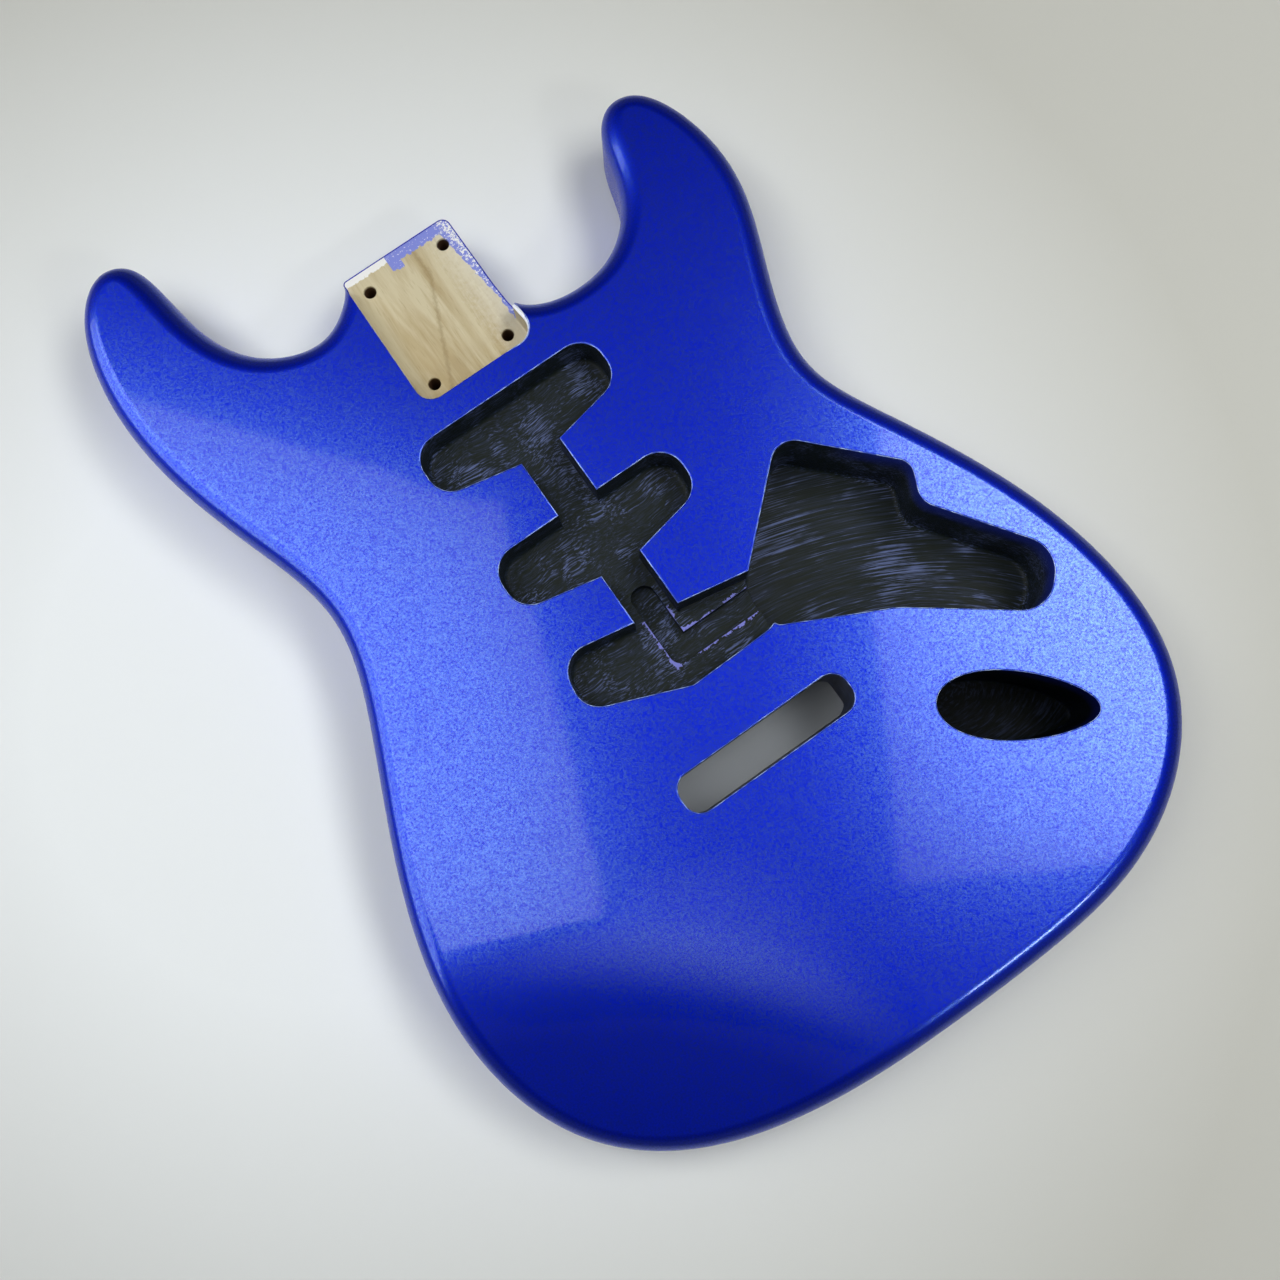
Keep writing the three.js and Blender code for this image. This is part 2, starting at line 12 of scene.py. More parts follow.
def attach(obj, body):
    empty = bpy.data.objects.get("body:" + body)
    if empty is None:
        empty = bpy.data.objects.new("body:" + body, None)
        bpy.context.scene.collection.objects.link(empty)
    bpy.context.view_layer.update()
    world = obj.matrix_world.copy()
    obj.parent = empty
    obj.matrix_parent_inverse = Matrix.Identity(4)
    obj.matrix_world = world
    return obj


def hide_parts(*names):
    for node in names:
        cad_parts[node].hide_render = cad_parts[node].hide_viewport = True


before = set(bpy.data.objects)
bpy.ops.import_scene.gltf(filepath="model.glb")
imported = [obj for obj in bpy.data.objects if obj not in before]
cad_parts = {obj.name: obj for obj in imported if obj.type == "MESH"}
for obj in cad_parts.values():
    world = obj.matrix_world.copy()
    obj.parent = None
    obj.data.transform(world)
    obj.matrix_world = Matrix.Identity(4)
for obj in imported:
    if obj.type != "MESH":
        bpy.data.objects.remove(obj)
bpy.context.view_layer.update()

scene = bpy.context.scene
millimetre = 0.001

body = {
    "width": 324, "length": 456, "thickness": 44.45,
    "edgeRadius": 10, "heelEdgeRadius": 1.5,
    "film": 0.5,      # paint and primer together
    "coat": 0.4,      # brushed lining of the routes
    "touch": 0.02,    # gap between layers
    "spanSteps": 14,  # outline points between two of the shares below
    "edgeSteps": 12,
    "grid": 4,        # spacing of the points over the contours
}
jointShares = [-0.3148, -1 / 6, 1 / 6, 0.3148]  # glue joints between the boards
heel = {"width": 54, "length": 73.6, "blend": 15, "trebleCorner": 4, "bassCorner": 2, "cornerSteps": 8}

# Shares of the width and length, from the bass side of the heel round by the butt to its treble side
outlineShares = [
    (-0.1452, 0.1149), (-0.1915, 0.1195), (-0.2353, 0.1403), (-0.2654, 0.1743), (-0.2806, 0.2149),
    (-0.2901, 0.2567), (-0.3061, 0.2821), (-0.3364, 0.2904), (-0.3696, 0.2803), (-0.4026, 0.2471),
    (-0.4243, 0.1755), (-0.4122, 0.08), (-0.3713, -0.0174), (-0.3397, -0.114), (-0.3771, -0.2142),
    (-0.4379, -0.3159), (-0.4831, -0.4232), (-0.4864, -0.5307), (-0.4391, -0.6154), (-0.3461, -0.6722),
    (-0.2102, -0.7028), (-0.0309, -0.7116), (0.1482, -0.7107), (0.3002, -0.6956), (0.4185, -0.65),
    (0.4897, -0.5817), (0.5099, -0.4934), (0.4785, -0.3768), (0.4058, -0.2584), (0.3601, -0.1882),
    (0.3543, -0.1449), (0.3771, -0.0858), (0.4191, -0.0092), (0.4328, 0.0549), (0.4151, 0.1168),
    (0.3806, 0.1492), (0.3413, 0.1515), (0.3121, 0.1278), (0.2951, 0.0898), (0.2677, 0.0522),
    (0.2211, 0.0268), (0.1698, 0.0195), (0.1213, 0.0253),
]
bassHeelShares = [(0, -0.25), (-0.07, -0.5), (-0.5, -0.99)]
trebleHeelShares = [(0.153, 1.24), (0.03, 1.7), (0, 2.35), (0, 3.05)]

forearm = {
    "chordShares": [(-0.463, -0.408), (-0.0154, -0.6974)],
    "bulge": 28, "bendRadius": 250, "slope": math.radians(11),
}
belly = {
    "chordShares": [(-0.3765, 0.022), (-0.4784, -0.4386)],
    "bulge": 74, "bendRadius": 90, "slope": math.radians(26),
}


# Outline

def onBody(share):
    return np.array([share[0] * body["width"], share[1] * body["length"]])


# A natural cubic spline through the points, with the direction along it
def smoothCurve(points, steps):
    places = np.array(points, float)
    spans = np.sqrt(np.linalg.norm(np.diff(places, axis=0), axis=1))
    count = len(places)
    system = np.eye(count)
    pulls = np.zeros((count, 2))
    for i in range(1, count - 1):
        before, after = spans[i - 1], spans[i]
        system[i, i - 1 : i + 2] = before, 2 * (before + after), after
        pulls[i] = 6 * ((places[i + 1] - places[i]) / after - (places[i] - places[i - 1]) / before)
    bends = np.linalg.solve(system, pulls)
    curve, along = [], []
    for i in range(count - 1):
        last = i == count - 2
        b = np.linspace(0, 1, steps + 1)[: None if last else -1, None]
        a = 1 - b
        sag = (a - a**3) * bends[i] + (b - b**3) * bends[i + 1]
        curve.append(a * places[i] + b * places[i + 1] - sag * spans[i] ** 2 / 6)
        lean = (1 - 3 * a**2) * bends[i] - (1 - 3 * b**2) * bends[i + 1]
        along.append((places[i + 1] - places[i]) / spans[i] + lean * spans[i] / 6)
    along = np.concatenate(along)
    return np.concatenate(curve), along / np.linalg.norm(along, axis=1)[:, None]


def heelCurves():
    half, long, blend = heel["width"] / 2, heel["length"], heel["blend"]
    bass = [(x * blend - half, long + y * blend) for x, y in bassHeelShares]
    treble = [(x * blend + half, y * blend) for x, y in trebleHeelShares]
    return bass, treble


bassEnd, trebleEnd = heelCurves()
outlinePlaces = bassEnd + [onBody(share) for share in outlineShares] + trebleEnd
outline, outlineAlong = smoothCurve(outlinePlaces, body["spanSteps"])
outlineOutward = np.stack([outlineAlong[:, 1], -outlineAlong[:, 0]], axis=1)

# factors for negative and positive places, which keep the smooth curve inside the faceted one's box
outlineFit = [(0.9967, 0.9998), (0.9995, 0.9999)]
cornerTurns = np.linspace(0, math.pi / 2, heel["cornerSteps"] + 1)
cornerSides = np.repeat([1, -1], len(cornerTurns))
cornerRadii = np.repeat([heel["trebleCorner"], heel["bassCorner"]], len(cornerTurns))
cornerTurns = np.concatenate([cornerTurns, cornerTurns + math.pi / 2])


# The outline drawn in by an inset for each of its places
def drawnIn(insets):
    insets = np.broadcast_to(np.asarray(insets, float), (len(outline) + len(cornerTurns),))
    curve = outline - outlineOutward * insets[: len(outline), None]
    curve *= np.where(curve < 0, outlineFit[0], outlineFit[1])
    nearHeel = np.abs(outline[:, 0]) < heel["width"] / 2 + heel["blend"]
    mouth = heel["length"] - insets[: len(outline)]
    curve[:, 1] = np.where(nearHeel, np.minimum(curve[:, 1], mouth), curve[:, 1])
    corner = insets[len(outline) :]
    left = np.maximum(cornerRadii - corner, 0)
    x = cornerSides * (heel["width"] / 2 - corner - left) + left * np.cos(cornerTurns)
    y = heel["length"] - corner - left + left * np.sin(cornerTurns)
    return np.concatenate([curve, np.stack([x, y], axis=1)])


# The back edge is nearly square round the heel, where a neck plate lies
def edgeRadii(side):
    places = drawnIn(0)
    away = np.clip((np.abs(places[:, 0]) - heel["width"] / 2) / heel["blend"], 0, 1)
    square = (places[:, 1] > 0) & (side < 0)
    softened = body["heelEdgeRadius"] + (body["edgeRadius"] - body["heelEdgeRadius"]) * away
    return np.where(square, softened, body["edgeRadius"])


# How far below the flat face a comfort contour lies
def contourDepth(contour, places):
    start, end = [onBody(share) for share in contour["chordShares"]]
    length = np.linalg.norm(end - start)
    along = (end - start) / length
    inward = np.array([-along[1], along[0]])
    offset = places - start
    share = offset @ along / length
    past = contour["bulge"] * 4 * share * (1 - share) - offset @ inward
    bendRun = contour["bendRadius"] * math.sin(contour["slope"])
    bent = np.clip(past, 0, bendRun)
    straight = np.maximum(past - bendRun, 0)
    fall = contour["bendRadius"] - np.sqrt(contour["bendRadius"] ** 2 - bent**2)
    return fall + straight * math.tan(contour["slope"])


def faceHeight(side, inset, places):
    half = body["thickness"] / 2
    depth = contourDepth(forearm if side > 0 else belly, places)
    return half + side * (half - inset - depth)


# Meshes

def meshObject(name, vertices, faces):
    mesh = bpy.data.meshes.new(name)
    mesh.from_pydata([tuple(v) for v in vertices], [], faces)
    shape = bmesh.new()
    shape.from_mesh(mesh)
    bmesh.ops.remove_doubles(shape, verts=shape.verts, dist=1e-3)
    bmesh.ops.dissolve_degenerate(shape, edges=shape.edges, dist=1e-4)
    shape.to_mesh(mesh)
    shape.free()
    piece = bpy.data.objects.new(name, mesh)
    scene.collection.objects.link(piece)
    return piece


def combined(target, tool, operation):
    step = target.modifiers.new("combine", "BOOLEAN")
    step.object = tool
    step.operation = operation
    step.solver = "MANIFOLD"
    result = target.evaluated_get(bpy.context.evaluated_depsgraph_get())
    mesh = bpy.data.meshes.new_from_object(result)
    target.modifiers.clear()
    target.data = mesh
    return target


def removed(*pieces):
    for piece in pieces:
        bpy.data.objects.remove(piece)


def copied(piece):
    twin = bpy.data.objects.new(piece.name + "_copy", piece.data.copy())
    scene.collection.objects.link(twin)
    return twin


def joined(tools):
    whole = tools[0]
    for tool in tools[1:]:
        combined(whole, tool, "UNION")
        removed(tool)
    return whole


# One face of the body: rings of a ball rolled along the edge, then the face inside them
def edgeRings(side, inset):
    half = body["thickness"] / 2
    contour = forearm if side > 0 else belly
    radii = np.maximum(edgeRadii(side) - inset, 0.2)
    turns = np.linspace(0, math.pi / 2, 91)
    clearances = []
    for turn in turns:
        places = drawnIn(inset + radii * (1 - math.cos(turn)))
        clearances.append(-contourDepth(contour, places) - radii * math.sin(turn))
    clearances = np.array(clearances)
    lowest = clearances.argmin(0)
    inner = np.clip(lowest, 1, len(turns) - 2)
    columns = np.arange(clearances.shape[1])
    before, at, after = [clearances[inner + step, columns] for step in (-1, 0, 1)]
    shift = np.where(inner == lowest, 0.5 * (before - after) / (before - 2 * at + after), 0)
    touching = turns[lowest] + shift * turns[1]
    centre = np.where(inner == lowest, at - 0.25 * (before - after) * shift, clearances[lowest, columns])
    rings = []
    for step in range(body["edgeSteps"] + 1):
        turn = touching * step / body["edgeSteps"]
        places = drawnIn(inset + radii * (1 - np.cos(turn)))
        height = half + side * (half - inset + centre + radii * np.sin(turn))
        if step == body["edgeSteps"]:
            height = faceHeight(side, inset, places)
        rings.append(np.column_stack([places, height]))
    return rings


def insidePolygon(points, polygon):
    inside = np.zeros(len(points), bool)
    previous = polygon[-1]
    for corner in polygon:
        crosses = (corner[1] > points[:, 1]) != (previous[1] > points[:, 1])
        rise = previous[1] - corner[1] or 1e-12
        x = corner[0] + (points[:, 1] - corner[1]) * (previous[0] - corner[0]) / rise
        inside ^= crosses & (points[:, 0] < x)
        previous = corner
    return inside


# Triangles inside a ring, with more points among them, and where each point of the triangles came from
def filledRing(ring, more=()):
    flat = [Vector(p) for p in ring] + [Vector(p) for p in more]
    edges = [(i, (i + 1) % len(ring)) for i in range(len(ring))]
    found = delaunay_2d_cdt(flat, edges, [], 0, 1e-6, True)
    places = np.array([tuple(v) for v in found[0]])
    triangles = np.array(found[2])
    inside = insidePolygon(places[triangles].mean(1), ring)
    return places, triangles[inside].tolist(), [sources[0] for sources in found[3]]


# Even points over the contour, up to a little before it starts
def contourPoints(side, ring, spacing):
    low, high = ring.min(0), ring.max(0)
    points = np.array([
        (x, y) for row, y in enumerate(np.arange(low[1], high[1], spacing * math.sqrt(0.75)))
        for x in np.arange(low[0] + spacing / 2 * (row % 2), high[0], spacing)
    ])
    points = points[insidePolygon(points, ring)]
    nearest = np.array([np.min(np.linalg.norm(ring - p, axis=1)) for p in points])
    points = points[nearest > spacing * 0.6]
    contour = forearm if side > 0 else belly
    start, end = [onBody(share) for share in contour["chordShares"]]
    inward = np.array([start[1] - end[1], end[0] - start[0]]) / np.linalg.norm(end - start)
    return points[contourDepth(contour, points - inward * 3 * spacing) > 0]


# Faces between rings that lie one above the other
def ringFaces(rings):
    faces, count = [], len(rings[0])
    for level in range(len(rings) - 1):
        for i in range(count):
            a, b = level * count + i, level * count + (i + 1) % count
            faces.append((a, b, b + count, a + count))
    return faces


def bodySolid(name, inset):
    front, back = edgeRings(1, inset), edgeRings(-1, inset)
    rings = back[::-1] + front
    vertices, faces, count = list(np.concatenate(rings)), ringFaces(rings), len(rings[0])
    for side, ring in ((1, front[-1][:, :2]), (-1, back[-1][:, :2])):
        places, triangles, sources = filledRing(ring, contourPoints(side, ring, body["grid"]))
        first = len(vertices)
        ringBase = (len(rings) - 1) * count if side > 0 else 0
        target = [ringBase + s if s < count else first + i for i, s in enumerate(sources)]
        vertices.extend(np.column_stack([places, faceHeight(side, inset, places)]))
        for triangle in triangles:
            corners = [target[v] for v in triangle]
            faces.append(tuple(corners if side > 0 else corners[::-1]))
    return meshObject(name, vertices, faces)


# Routing tools: a rounded outline swept down, with a soft rim at the top and a small fillet at the floor

toolReach = 3  # how far a tool stands out of the surface that it cuts
routeRim = 0.8


def roundedLoop(corners, grow, cornerSteps=10):
    loop = []
    places = [np.array(corner[:2], float) for corner in corners]
    count = len(corners)
    for i, corner in enumerate(corners):
        into = places[i] - places[i - 1]
        out = places[(i + 1) % count] - places[i]
        into, out = into / np.linalg.norm(into), out / np.linalg.norm(out)
        sideIn, sideOut = np.array([into[1], -into[0]]), np.array([out[1], -out[0]])
        turn = math.atan2(into[0] * out[1] - into[1] * out[0], into @ out)
        bulge = math.copysign(1, turn)
        radius = max(corner[2] + bulge * grow, 0.02)
        shift = grow / (1 + sideIn @ sideOut)
        tip = places[i] + (sideIn + sideOut) * shift
        centre = tip - into * radius * math.tan(abs(turn) / 2) - sideIn * radius * bulge
        start = math.atan2(*(sideIn * bulge)[::-1])
        for step in range(cornerSteps + 1):
            angle = start + turn * step / cornerSteps
            loop.append(centre + radius * np.array([math.cos(angle), math.sin(angle)]))
    return np.array(loop)


def straight(corners):
    return lambda grow: roundedLoop(corners, grow)


def box(left, right, low, high, radius):
    return [(left, low, radius), (right, low, radius), (right, high, radius), (left, high, radius)]


# A profile is pairs of how far a loop grows and the height there: here from the floor up through the rim
def wallProfile(floor, top, fillet, rim, grow):
    profile = []
    if fillet:
        for turn in np.linspace(0, math.pi / 2, 5):
            profile.append((grow - fillet * (1 - math.sin(turn)), floor + fillet * (1 - math.cos(turn))))
    else:
        profile.append((grow, floor))
    if rim:
        for turn in np.radians([0, 12, 24, 36, 48, 60, 74]):
            profile.append((grow + rim * (1 - math.cos(turn)), top - rim + rim * math.sin(turn)))
        profile.append((profile[-1][0] + rim * 0.7, top + rim * 0.16))
    profile.append((profile[-1][0], top + toolReach))
    return profile


def levelGround(loop):
    return np.zeros(len(loop))


# A loop swept through a profile, whose heights are measured from the ground at each place
def loftedTool(name, loopAt, profile, ground=levelGround):
    loops = [loopAt(grow) for grow, height in profile]
    vertices, faces = [], ringFaces(loops)
    for loop, (grow, height) in zip(loops, profile):
        vertices.extend(np.column_stack([loop, ground(loop) + height]))
    for base, loop, flip in ((0, loops[0], True), (len(vertices) - len(loops[-1]), loops[-1], False)):
        places, triangles, sources = filledRing(loop)
        for triangle in triangles:
            corners = [base + sources[v] for v in triangle]
            faces.append(tuple(corners[::-1] if flip else corners))
    return meshObject(name, vertices, faces)


def cavityTool(name, loopAt, depth, fillet, rim=0, grow=0, fromBack=False):
    top = body["thickness"]
    profile = wallProfile(top - depth - grow, top, fillet, rim, grow)
    if fromBack:
        profile = [(g, top - z) for g, z in profile[::-1]]
    return loftedTool(name, loopAt, profile)


pickups = {
    "width": 88.4, "endHeight": 23.5, "middleHeight": 32.5, "corner": 11, "middleCorner": 3, "depth": 18,
    "neck": 12.7, "middle": 70.4, "bridge": 126.6, "bridgeOffset": 1.3, "bridgeAngle": math.radians(-10.2),
    "channel": 18.6, "fillet": 2.5,
}
groove = {"width": 11, "depth": 24, "offset": 1, "start": 110.5, "turn": 142.3, "corner": 5}
controls = {
    "fillet": 2.5, "length": 111.7, "height": 121.6, "depth": 35, "corner": 9.5,
    "placeShare": (0.1127, -0.2077),
    "cornerShares": [
        (0, -0.52, 0.4), (0.401, -0.704, 4), (0.834, -1, 1.42), (1, -0.851, 1.42),
        (0.698, -0.46, 0.95), (0.759, -0.331, 0.74), (0.413, 0, 1), (0.027, -0.328, 0.3),
    ],
}
jack = {
    "length": 64.5, "width": 27.2, "depth": 35, "fillet": 1.5, "angle": math.radians(-37),
    "placeShare": (0.297, -0.5254), "eggShare": 0.2,
}


def pickupCorners(place):
    half, corner = pickups["width"] / 2, pickups["corner"]
    ends, middle = place + pickups["endHeight"], place + pickups["middleHeight"]
    return [
        (-half, -place, corner), (-half, -ends, corner), (0, -middle, pickups["middleCorner"]),
        (half, -ends, corner), (half, -place, corner),
    ]


# About the middle of the bridge pickup, which is slanted
def turned(corners):
    c, s = math.cos(pickups["bridgeAngle"]), math.sin(pickups["bridgeAngle"])
    middle = [pickups["bridgeOffset"], -pickups["bridge"]]
    return lambda grow: roundedLoop(corners, grow) @ np.array([[c, s], [-s, c]]) + middle


def eggLoop(grow):
    turn = np.linspace(0, 2 * math.pi, 96, endpoint=False)
    slim = 1 - jack["eggShare"] * np.cos(turn)
    places = np.stack([jack["length"] / 2 * np.cos(turn), jack["width"] / 2 * np.sin(turn) * slim], axis=1)
    along = np.roll(places, -1, axis=0) - np.roll(places, 1, axis=0)
    along /= np.linalg.norm(along, axis=1)[:, None]
    places += np.stack([along[:, 1], -along[:, 0]], axis=1) * grow
    c, s = math.cos(jack["angle"]), math.sin(jack["angle"])
    return places @ np.array([[c, s], [-s, c]]) + onBody(jack["placeShare"])


# The pickup, wire and control routes as one space
def mainRoutes(name, rim, grow):
    half = pickups["channel"] / 2
    corner = onBody(controls["placeShare"])
    along = box(-half, half, -pickups["bridge"] - half, -pickups["neck"] - half, 0)
    across = box(half, corner[0] + half, -pickups["endHeight"], 0, 0)
    left, right = groove["offset"] - groove["width"] / 2, groove["offset"] + groove["width"] / 2
    end, nose = corner[0] + groove["width"] / 2, groove["width"] / 2
    grooveCorners = [
        (left, -groove["start"], groove["corner"]), (left, -groove["turn"] - nose, groove["corner"]),
        (end, -groove["turn"] - nose, 0), (end, -groove["turn"] + nose, 0),
        (right, -groove["turn"] + nose, 0), (right, -groove["start"], groove["corner"]),
    ]
    controlCorners = [
        (corner[0] + x * controls["length"], corner[1] + y * controls["height"], r * controls["corner"])
        for x, y, r in controls["cornerShares"]
    ]
    parts = [
        (straight(pickupCorners(pickups["neck"])), pickups["depth"], pickups["fillet"]),
        (straight(pickupCorners(pickups["middle"])), pickups["depth"], pickups["fillet"]),
        (turned(pickupCorners(0)), pickups["depth"], pickups["fillet"]),
        (straight(along), pickups["depth"], 0),
        (turned(across), pickups["depth"], 0),
        (straight(grooveCorners), groove["depth"], 0),
        (straight(controlCorners), controls["depth"], controls["fillet"]),
    ]
    return joined([
        cavityTool(f"{name}{index}", loopAt, depth, fillet, rim, grow)
        for index, (loopAt, depth, fillet) in enumerate(parts)
    ])


pocket = {
    "width": 56, "depth": 15.9, "corner": 7.5, "taper": 0.8, "fillet": 0.8, "rim": 0.35,
    "pastMouth": 5, "pastSide": 2,  # how far its tool runs out of the open sides
    # the wall left beside the heel's treble corner, and the lip sanded into its rim
    "trebleWall": (27, 26.2), "trebleLength": 17, "trebleCorner": 0.4,
    "lipStart": 9, "lipWidth": 1.4, "lipDepth": 1.1, "lipLength": 21,
}
neckScrews = {"diameter": 5.2, "across": 38.1, "along": 50.8, "middle": 37.7}
bridgeSlot = {"length": 80.9, "width": 17, "corner": 7, "offset": 5.75, "place": 194.2}
springs = {
    "depth": 15.9, "recessLength": 84, "recessWidth": 26, "wellWidth": 57, "wellLength": 100,
    "corner": 9.5, "fillet": 1.5,
}


def pocketTool():
    half, far = pocket["width"] / 2, heel["length"] + pocket["pastMouth"]
    (wall, wallTip), wallEnd, pastSide = pocket["trebleWall"], pocket["trebleLength"], pocket["pastSide"]
    corners = [
        (-half, 0, pocket["corner"]), (wall, 0, pocket["corner"]), (wallTip, wallEnd, pocket["trebleCorner"]),
        (half + pastSide, wallEnd + pastSide, pocket["trebleCorner"]), (half + pastSide, far, 0),
        (pocket["taper"] - half, far, 0),
    ]
    return cavityTool("pocketTool", straight(corners), pocket["depth"], pocket["fillet"], pocket["rim"])


# Height of the front where the edge starts to roll over
def rolledHeight(places):
    radius = body["edgeRadius"]
    away = np.array([np.min(np.linalg.norm(outline - place, axis=1)) for place in places])
    past = np.clip(radius - away, 0, radius)
    return body["thickness"] - radius + np.sqrt(radius**2 - past**2)


# The rim is sanded to a wider slope at the treble corner of the heel, where white primer shows
def lipTool():
    start, (wall, wallTip), long = pocket["lipStart"], pocket["trebleWall"], pocket["lipLength"]
    width, depth = pocket["lipWidth"], pocket["lipDepth"]
    corners = [(start, width, 0), (wall, 0, pocket["corner"]), (wallTip, long, 0), (start, long, 0)]
    profile = [(-0.6, -depth - 0.3), (0, -depth), (width, 0.05), (width, toolReach)]
    return loftedTool("lipTool", straight(corners), profile, rolledHeight)


def slotTool():
    x, y = bridgeSlot["offset"], -bridgeSlot["place"]
    across, along = bridgeSlot["length"] / 2, bridgeSlot["width"] / 2
    corners = box(x - across, x + across, y - along, y + along, bridgeSlot["corner"])
    return cavityTool("slotTool", straight(corners), body["thickness"] + toolReach, 0, routeRim)


def springTools():
    x, y = bridgeSlot["offset"], -bridgeSlot["place"]
    across, along, half = springs["recessLength"] / 2, springs["recessWidth"] / 2, springs["wellWidth"] / 2
    well = box(-half, half, y, y + springs["wellLength"], springs["corner"])
    recess = box(x - across, x + across, y - along, y + along, springs["corner"])
    return joined([
        cavityTool(name, straight(corners), springs["depth"], springs["fillet"], routeRim, fromBack=True)
        for name, corners in (("wellTool", well), ("recessTool", recess))
    ])


def screwTool():
    floor = body["thickness"] - pocket["depth"]
    # narrow through the wood, and opened by a little at both mouths
    profile = [
        (1.0, -toolReach), (1.0, 0), (0.5, 0.12), (0.12, 0.45), (0, 0.9),
        (0, floor - 0.7), (0.3, floor), (0.3, floor + toolReach),
    ]
    turn = np.linspace(0, 2 * math.pi, 40, endpoint=False)
    ring = np.stack([np.cos(turn), np.sin(turn)], axis=1)
    radius, middle = neckScrews["diameter"] / 2, neckScrews["middle"]
    across, along = neckScrews["across"] / 2, neckScrews["along"] / 2
    return joined([
        loftedTool("screwTool", lambda grow: np.array([x, middle + y]) + ring * (radius + grow), profile)
        for x in (-across, across) for y in (-along, along)
    ])


slabReach = 5  # how far the slabs stand out of the body's faces


def slab(name, left, right, high):
    reach = body["length"]
    loop = np.array([(left, -reach), (right, -reach), (right, reach), (left, reach)])
    return loftedTool(name, lambda grow: loop, [(0, -slabReach), (0, high)])


print("routing tools")
routes = mainRoutes("routes", routeRim, 0)
linedRoutes = mainRoutes("linedRoutes", 0, body["coat"])
jackTool = cavityTool("jackTool", eggLoop, jack["depth"], jack["fillet"], routeRim)
linedJack = cavityTool("linedJack", eggLoop, jack["depth"], jack["fillet"], 0, body["coat"])
openTools = [pocketTool(), lipTool(), slotTool(), springTools(), screwTool()]

print("finish film")
film = bodySolid("blue_metallic_finish", 0)
combined(film, bodySolid("filmCore", body["film"]), "DIFFERENCE")
for tool in [routes, jackTool] + openTools:
    combined(film, tool, "DIFFERENCE")

print("coats")
filmFloor = body["thickness"] - body["film"] - body["touch"]
underFilm = slab("underFilm", -body["width"], body["width"], filmFloor)
mainCoat = copied(linedRoutes)
mainCoat.name = "brushed_coat_of_main_routes"
jackCoat = copied(linedJack)
jackCoat.name = "brushed_coat_of_jack_route"
for coat, tool in ((mainCoat, routes), (jackCoat, jackTool)):
    combined(coat, tool, "DIFFERENCE")
    combined(coat, underFilm, "INTERSECT")

print("boards")
blank = bodySolid("blank", body["film"] + body["touch"])
for tool in [linedRoutes, linedJack] + openTools:
    combined(blank, tool, "DIFFERENCE")
boardNodes = [
    "bass_outer_board", "bass_inner_board", "centre_board", "treble_inner_board", "treble_outer_board",
]
joints = [share * body["width"] for share in (-1, *jointShares, 1)]
boards = []
for name, left, right in zip(boardNodes, joints, joints[1:]):
    board = copied(blank)
    board.name = name + "_of_blank"
    between = slab("boardSlab", left + body["touch"], right - body["touch"], body["thickness"] + slabReach)
    boards.append(combined(board, between, "INTERSECT"))

pieces = [film, mainCoat, jackCoat] + boards
for piece in pieces:
    print(piece.name, len(piece.data.vertices), len(piece.data.polygons))
kept = set(pieces) | set(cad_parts.values())
removed(*[o for o in scene.objects if o.type == "MESH" and o not in kept])


# Shading: smooth below a sharp angle, with the true normals of the two faces

def smoothed(piece, sharpAngle):
    mesh = piece.data
    shape = bmesh.new()
    shape.from_mesh(mesh)
    bmesh.ops.remove_doubles(shape, verts=shape.verts, dist=2e-3)
    bmesh.ops.dissolve_degenerate(shape, edges=shape.edges, dist=1e-3)
    for edge in shape.edges:
        edge.smooth = len(edge.link_faces) == 2 and edge.calc_face_angle() < sharpAngle
    for face in shape.faces:
        face.smooth = True
    shape.to_mesh(mesh)
    shape.free()


def faceNormals(side, places):
    step = 0.5
    slopes = []
    for axis in ((step, 0), (0, step)):
        rise = faceHeight(side, 0, places + axis) - faceHeight(side, 0, places - np.array(axis))
        slopes.append(rise / (2 * step))
    normals = np.column_stack([-slopes[0], -slopes[1], np.ones(len(places))]) * side
    return normals / np.linalg.norm(normals, axis=1)[:, None]


def trueNormals(piece):
    mesh = piece.data
    places = np.empty(len(mesh.vertices) * 3)
    mesh.vertices.foreach_get("co", places)
    places = places.reshape(-1, 3)
    corners = np.array([corner.vector for corner in mesh.corner_normals])
    owner = np.empty(len(mesh.loops), int)
    mesh.loops.foreach_get("vertex_index", owner)
    for side in (1, -1):
        onFace = np.abs(places[:, 2] - faceHeight(side, 0, places[:, :2])) < 2e-3
        normals = faceNormals(side, places[:, :2])
        matches = onFace[owner] & (np.sum(corners * normals[owner], axis=1) > 0.8)
        corners[matches] = normals[owner][matches]
    mesh.normals_split_custom_set([tuple(n) for n in corners])


for piece in pieces:
    smoothed(piece, math.radians(35))
    if piece == film:
        trueNormals(film)
    piece.data.transform(Matrix.Scale(millimetre, 4))
    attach(piece, "root")
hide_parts("front_and_edge_finish", "back_finish")
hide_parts("main_cavity_conductive_coat")
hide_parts("jack_cavity_conductive_coat")
for board, node in zip(boards, boardNodes):
    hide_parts(node)


# Materials

def colour(hexCode):
    channels = [int(hexCode[i : i + 2], 16) / 255 for i in (1, 3, 5)]
    return tuple(c / 12.92 if c <= 0.04045 else ((c + 0.055) / 1.055) ** 2.4 for c in channels) + (1,)


# Adds a node with its settings and its inputs, where a socket is linked and anything else is a value
# A kind in capitals is an operation of a Math node
def addNode(owner, kind, inputs=(), output=0, **settings):
    if kind.isupper():
        kind, settings = "Math", {"operation": kind}
    tree = owner.node_tree
    node = tree.nodes.new("ShaderNode" + kind)
    for name, value in settings.items():
        setattr(node, name, value)
    for key, value in inputs.items() if isinstance(inputs, dict) else enumerate(inputs):
        if isinstance(value, bpy.types.NodeSocket):
            tree.links.new(value, node.inputs[key])
        else:
            node.inputs[key].default_value = value
    return node.outputs[output] if node.outputs else node


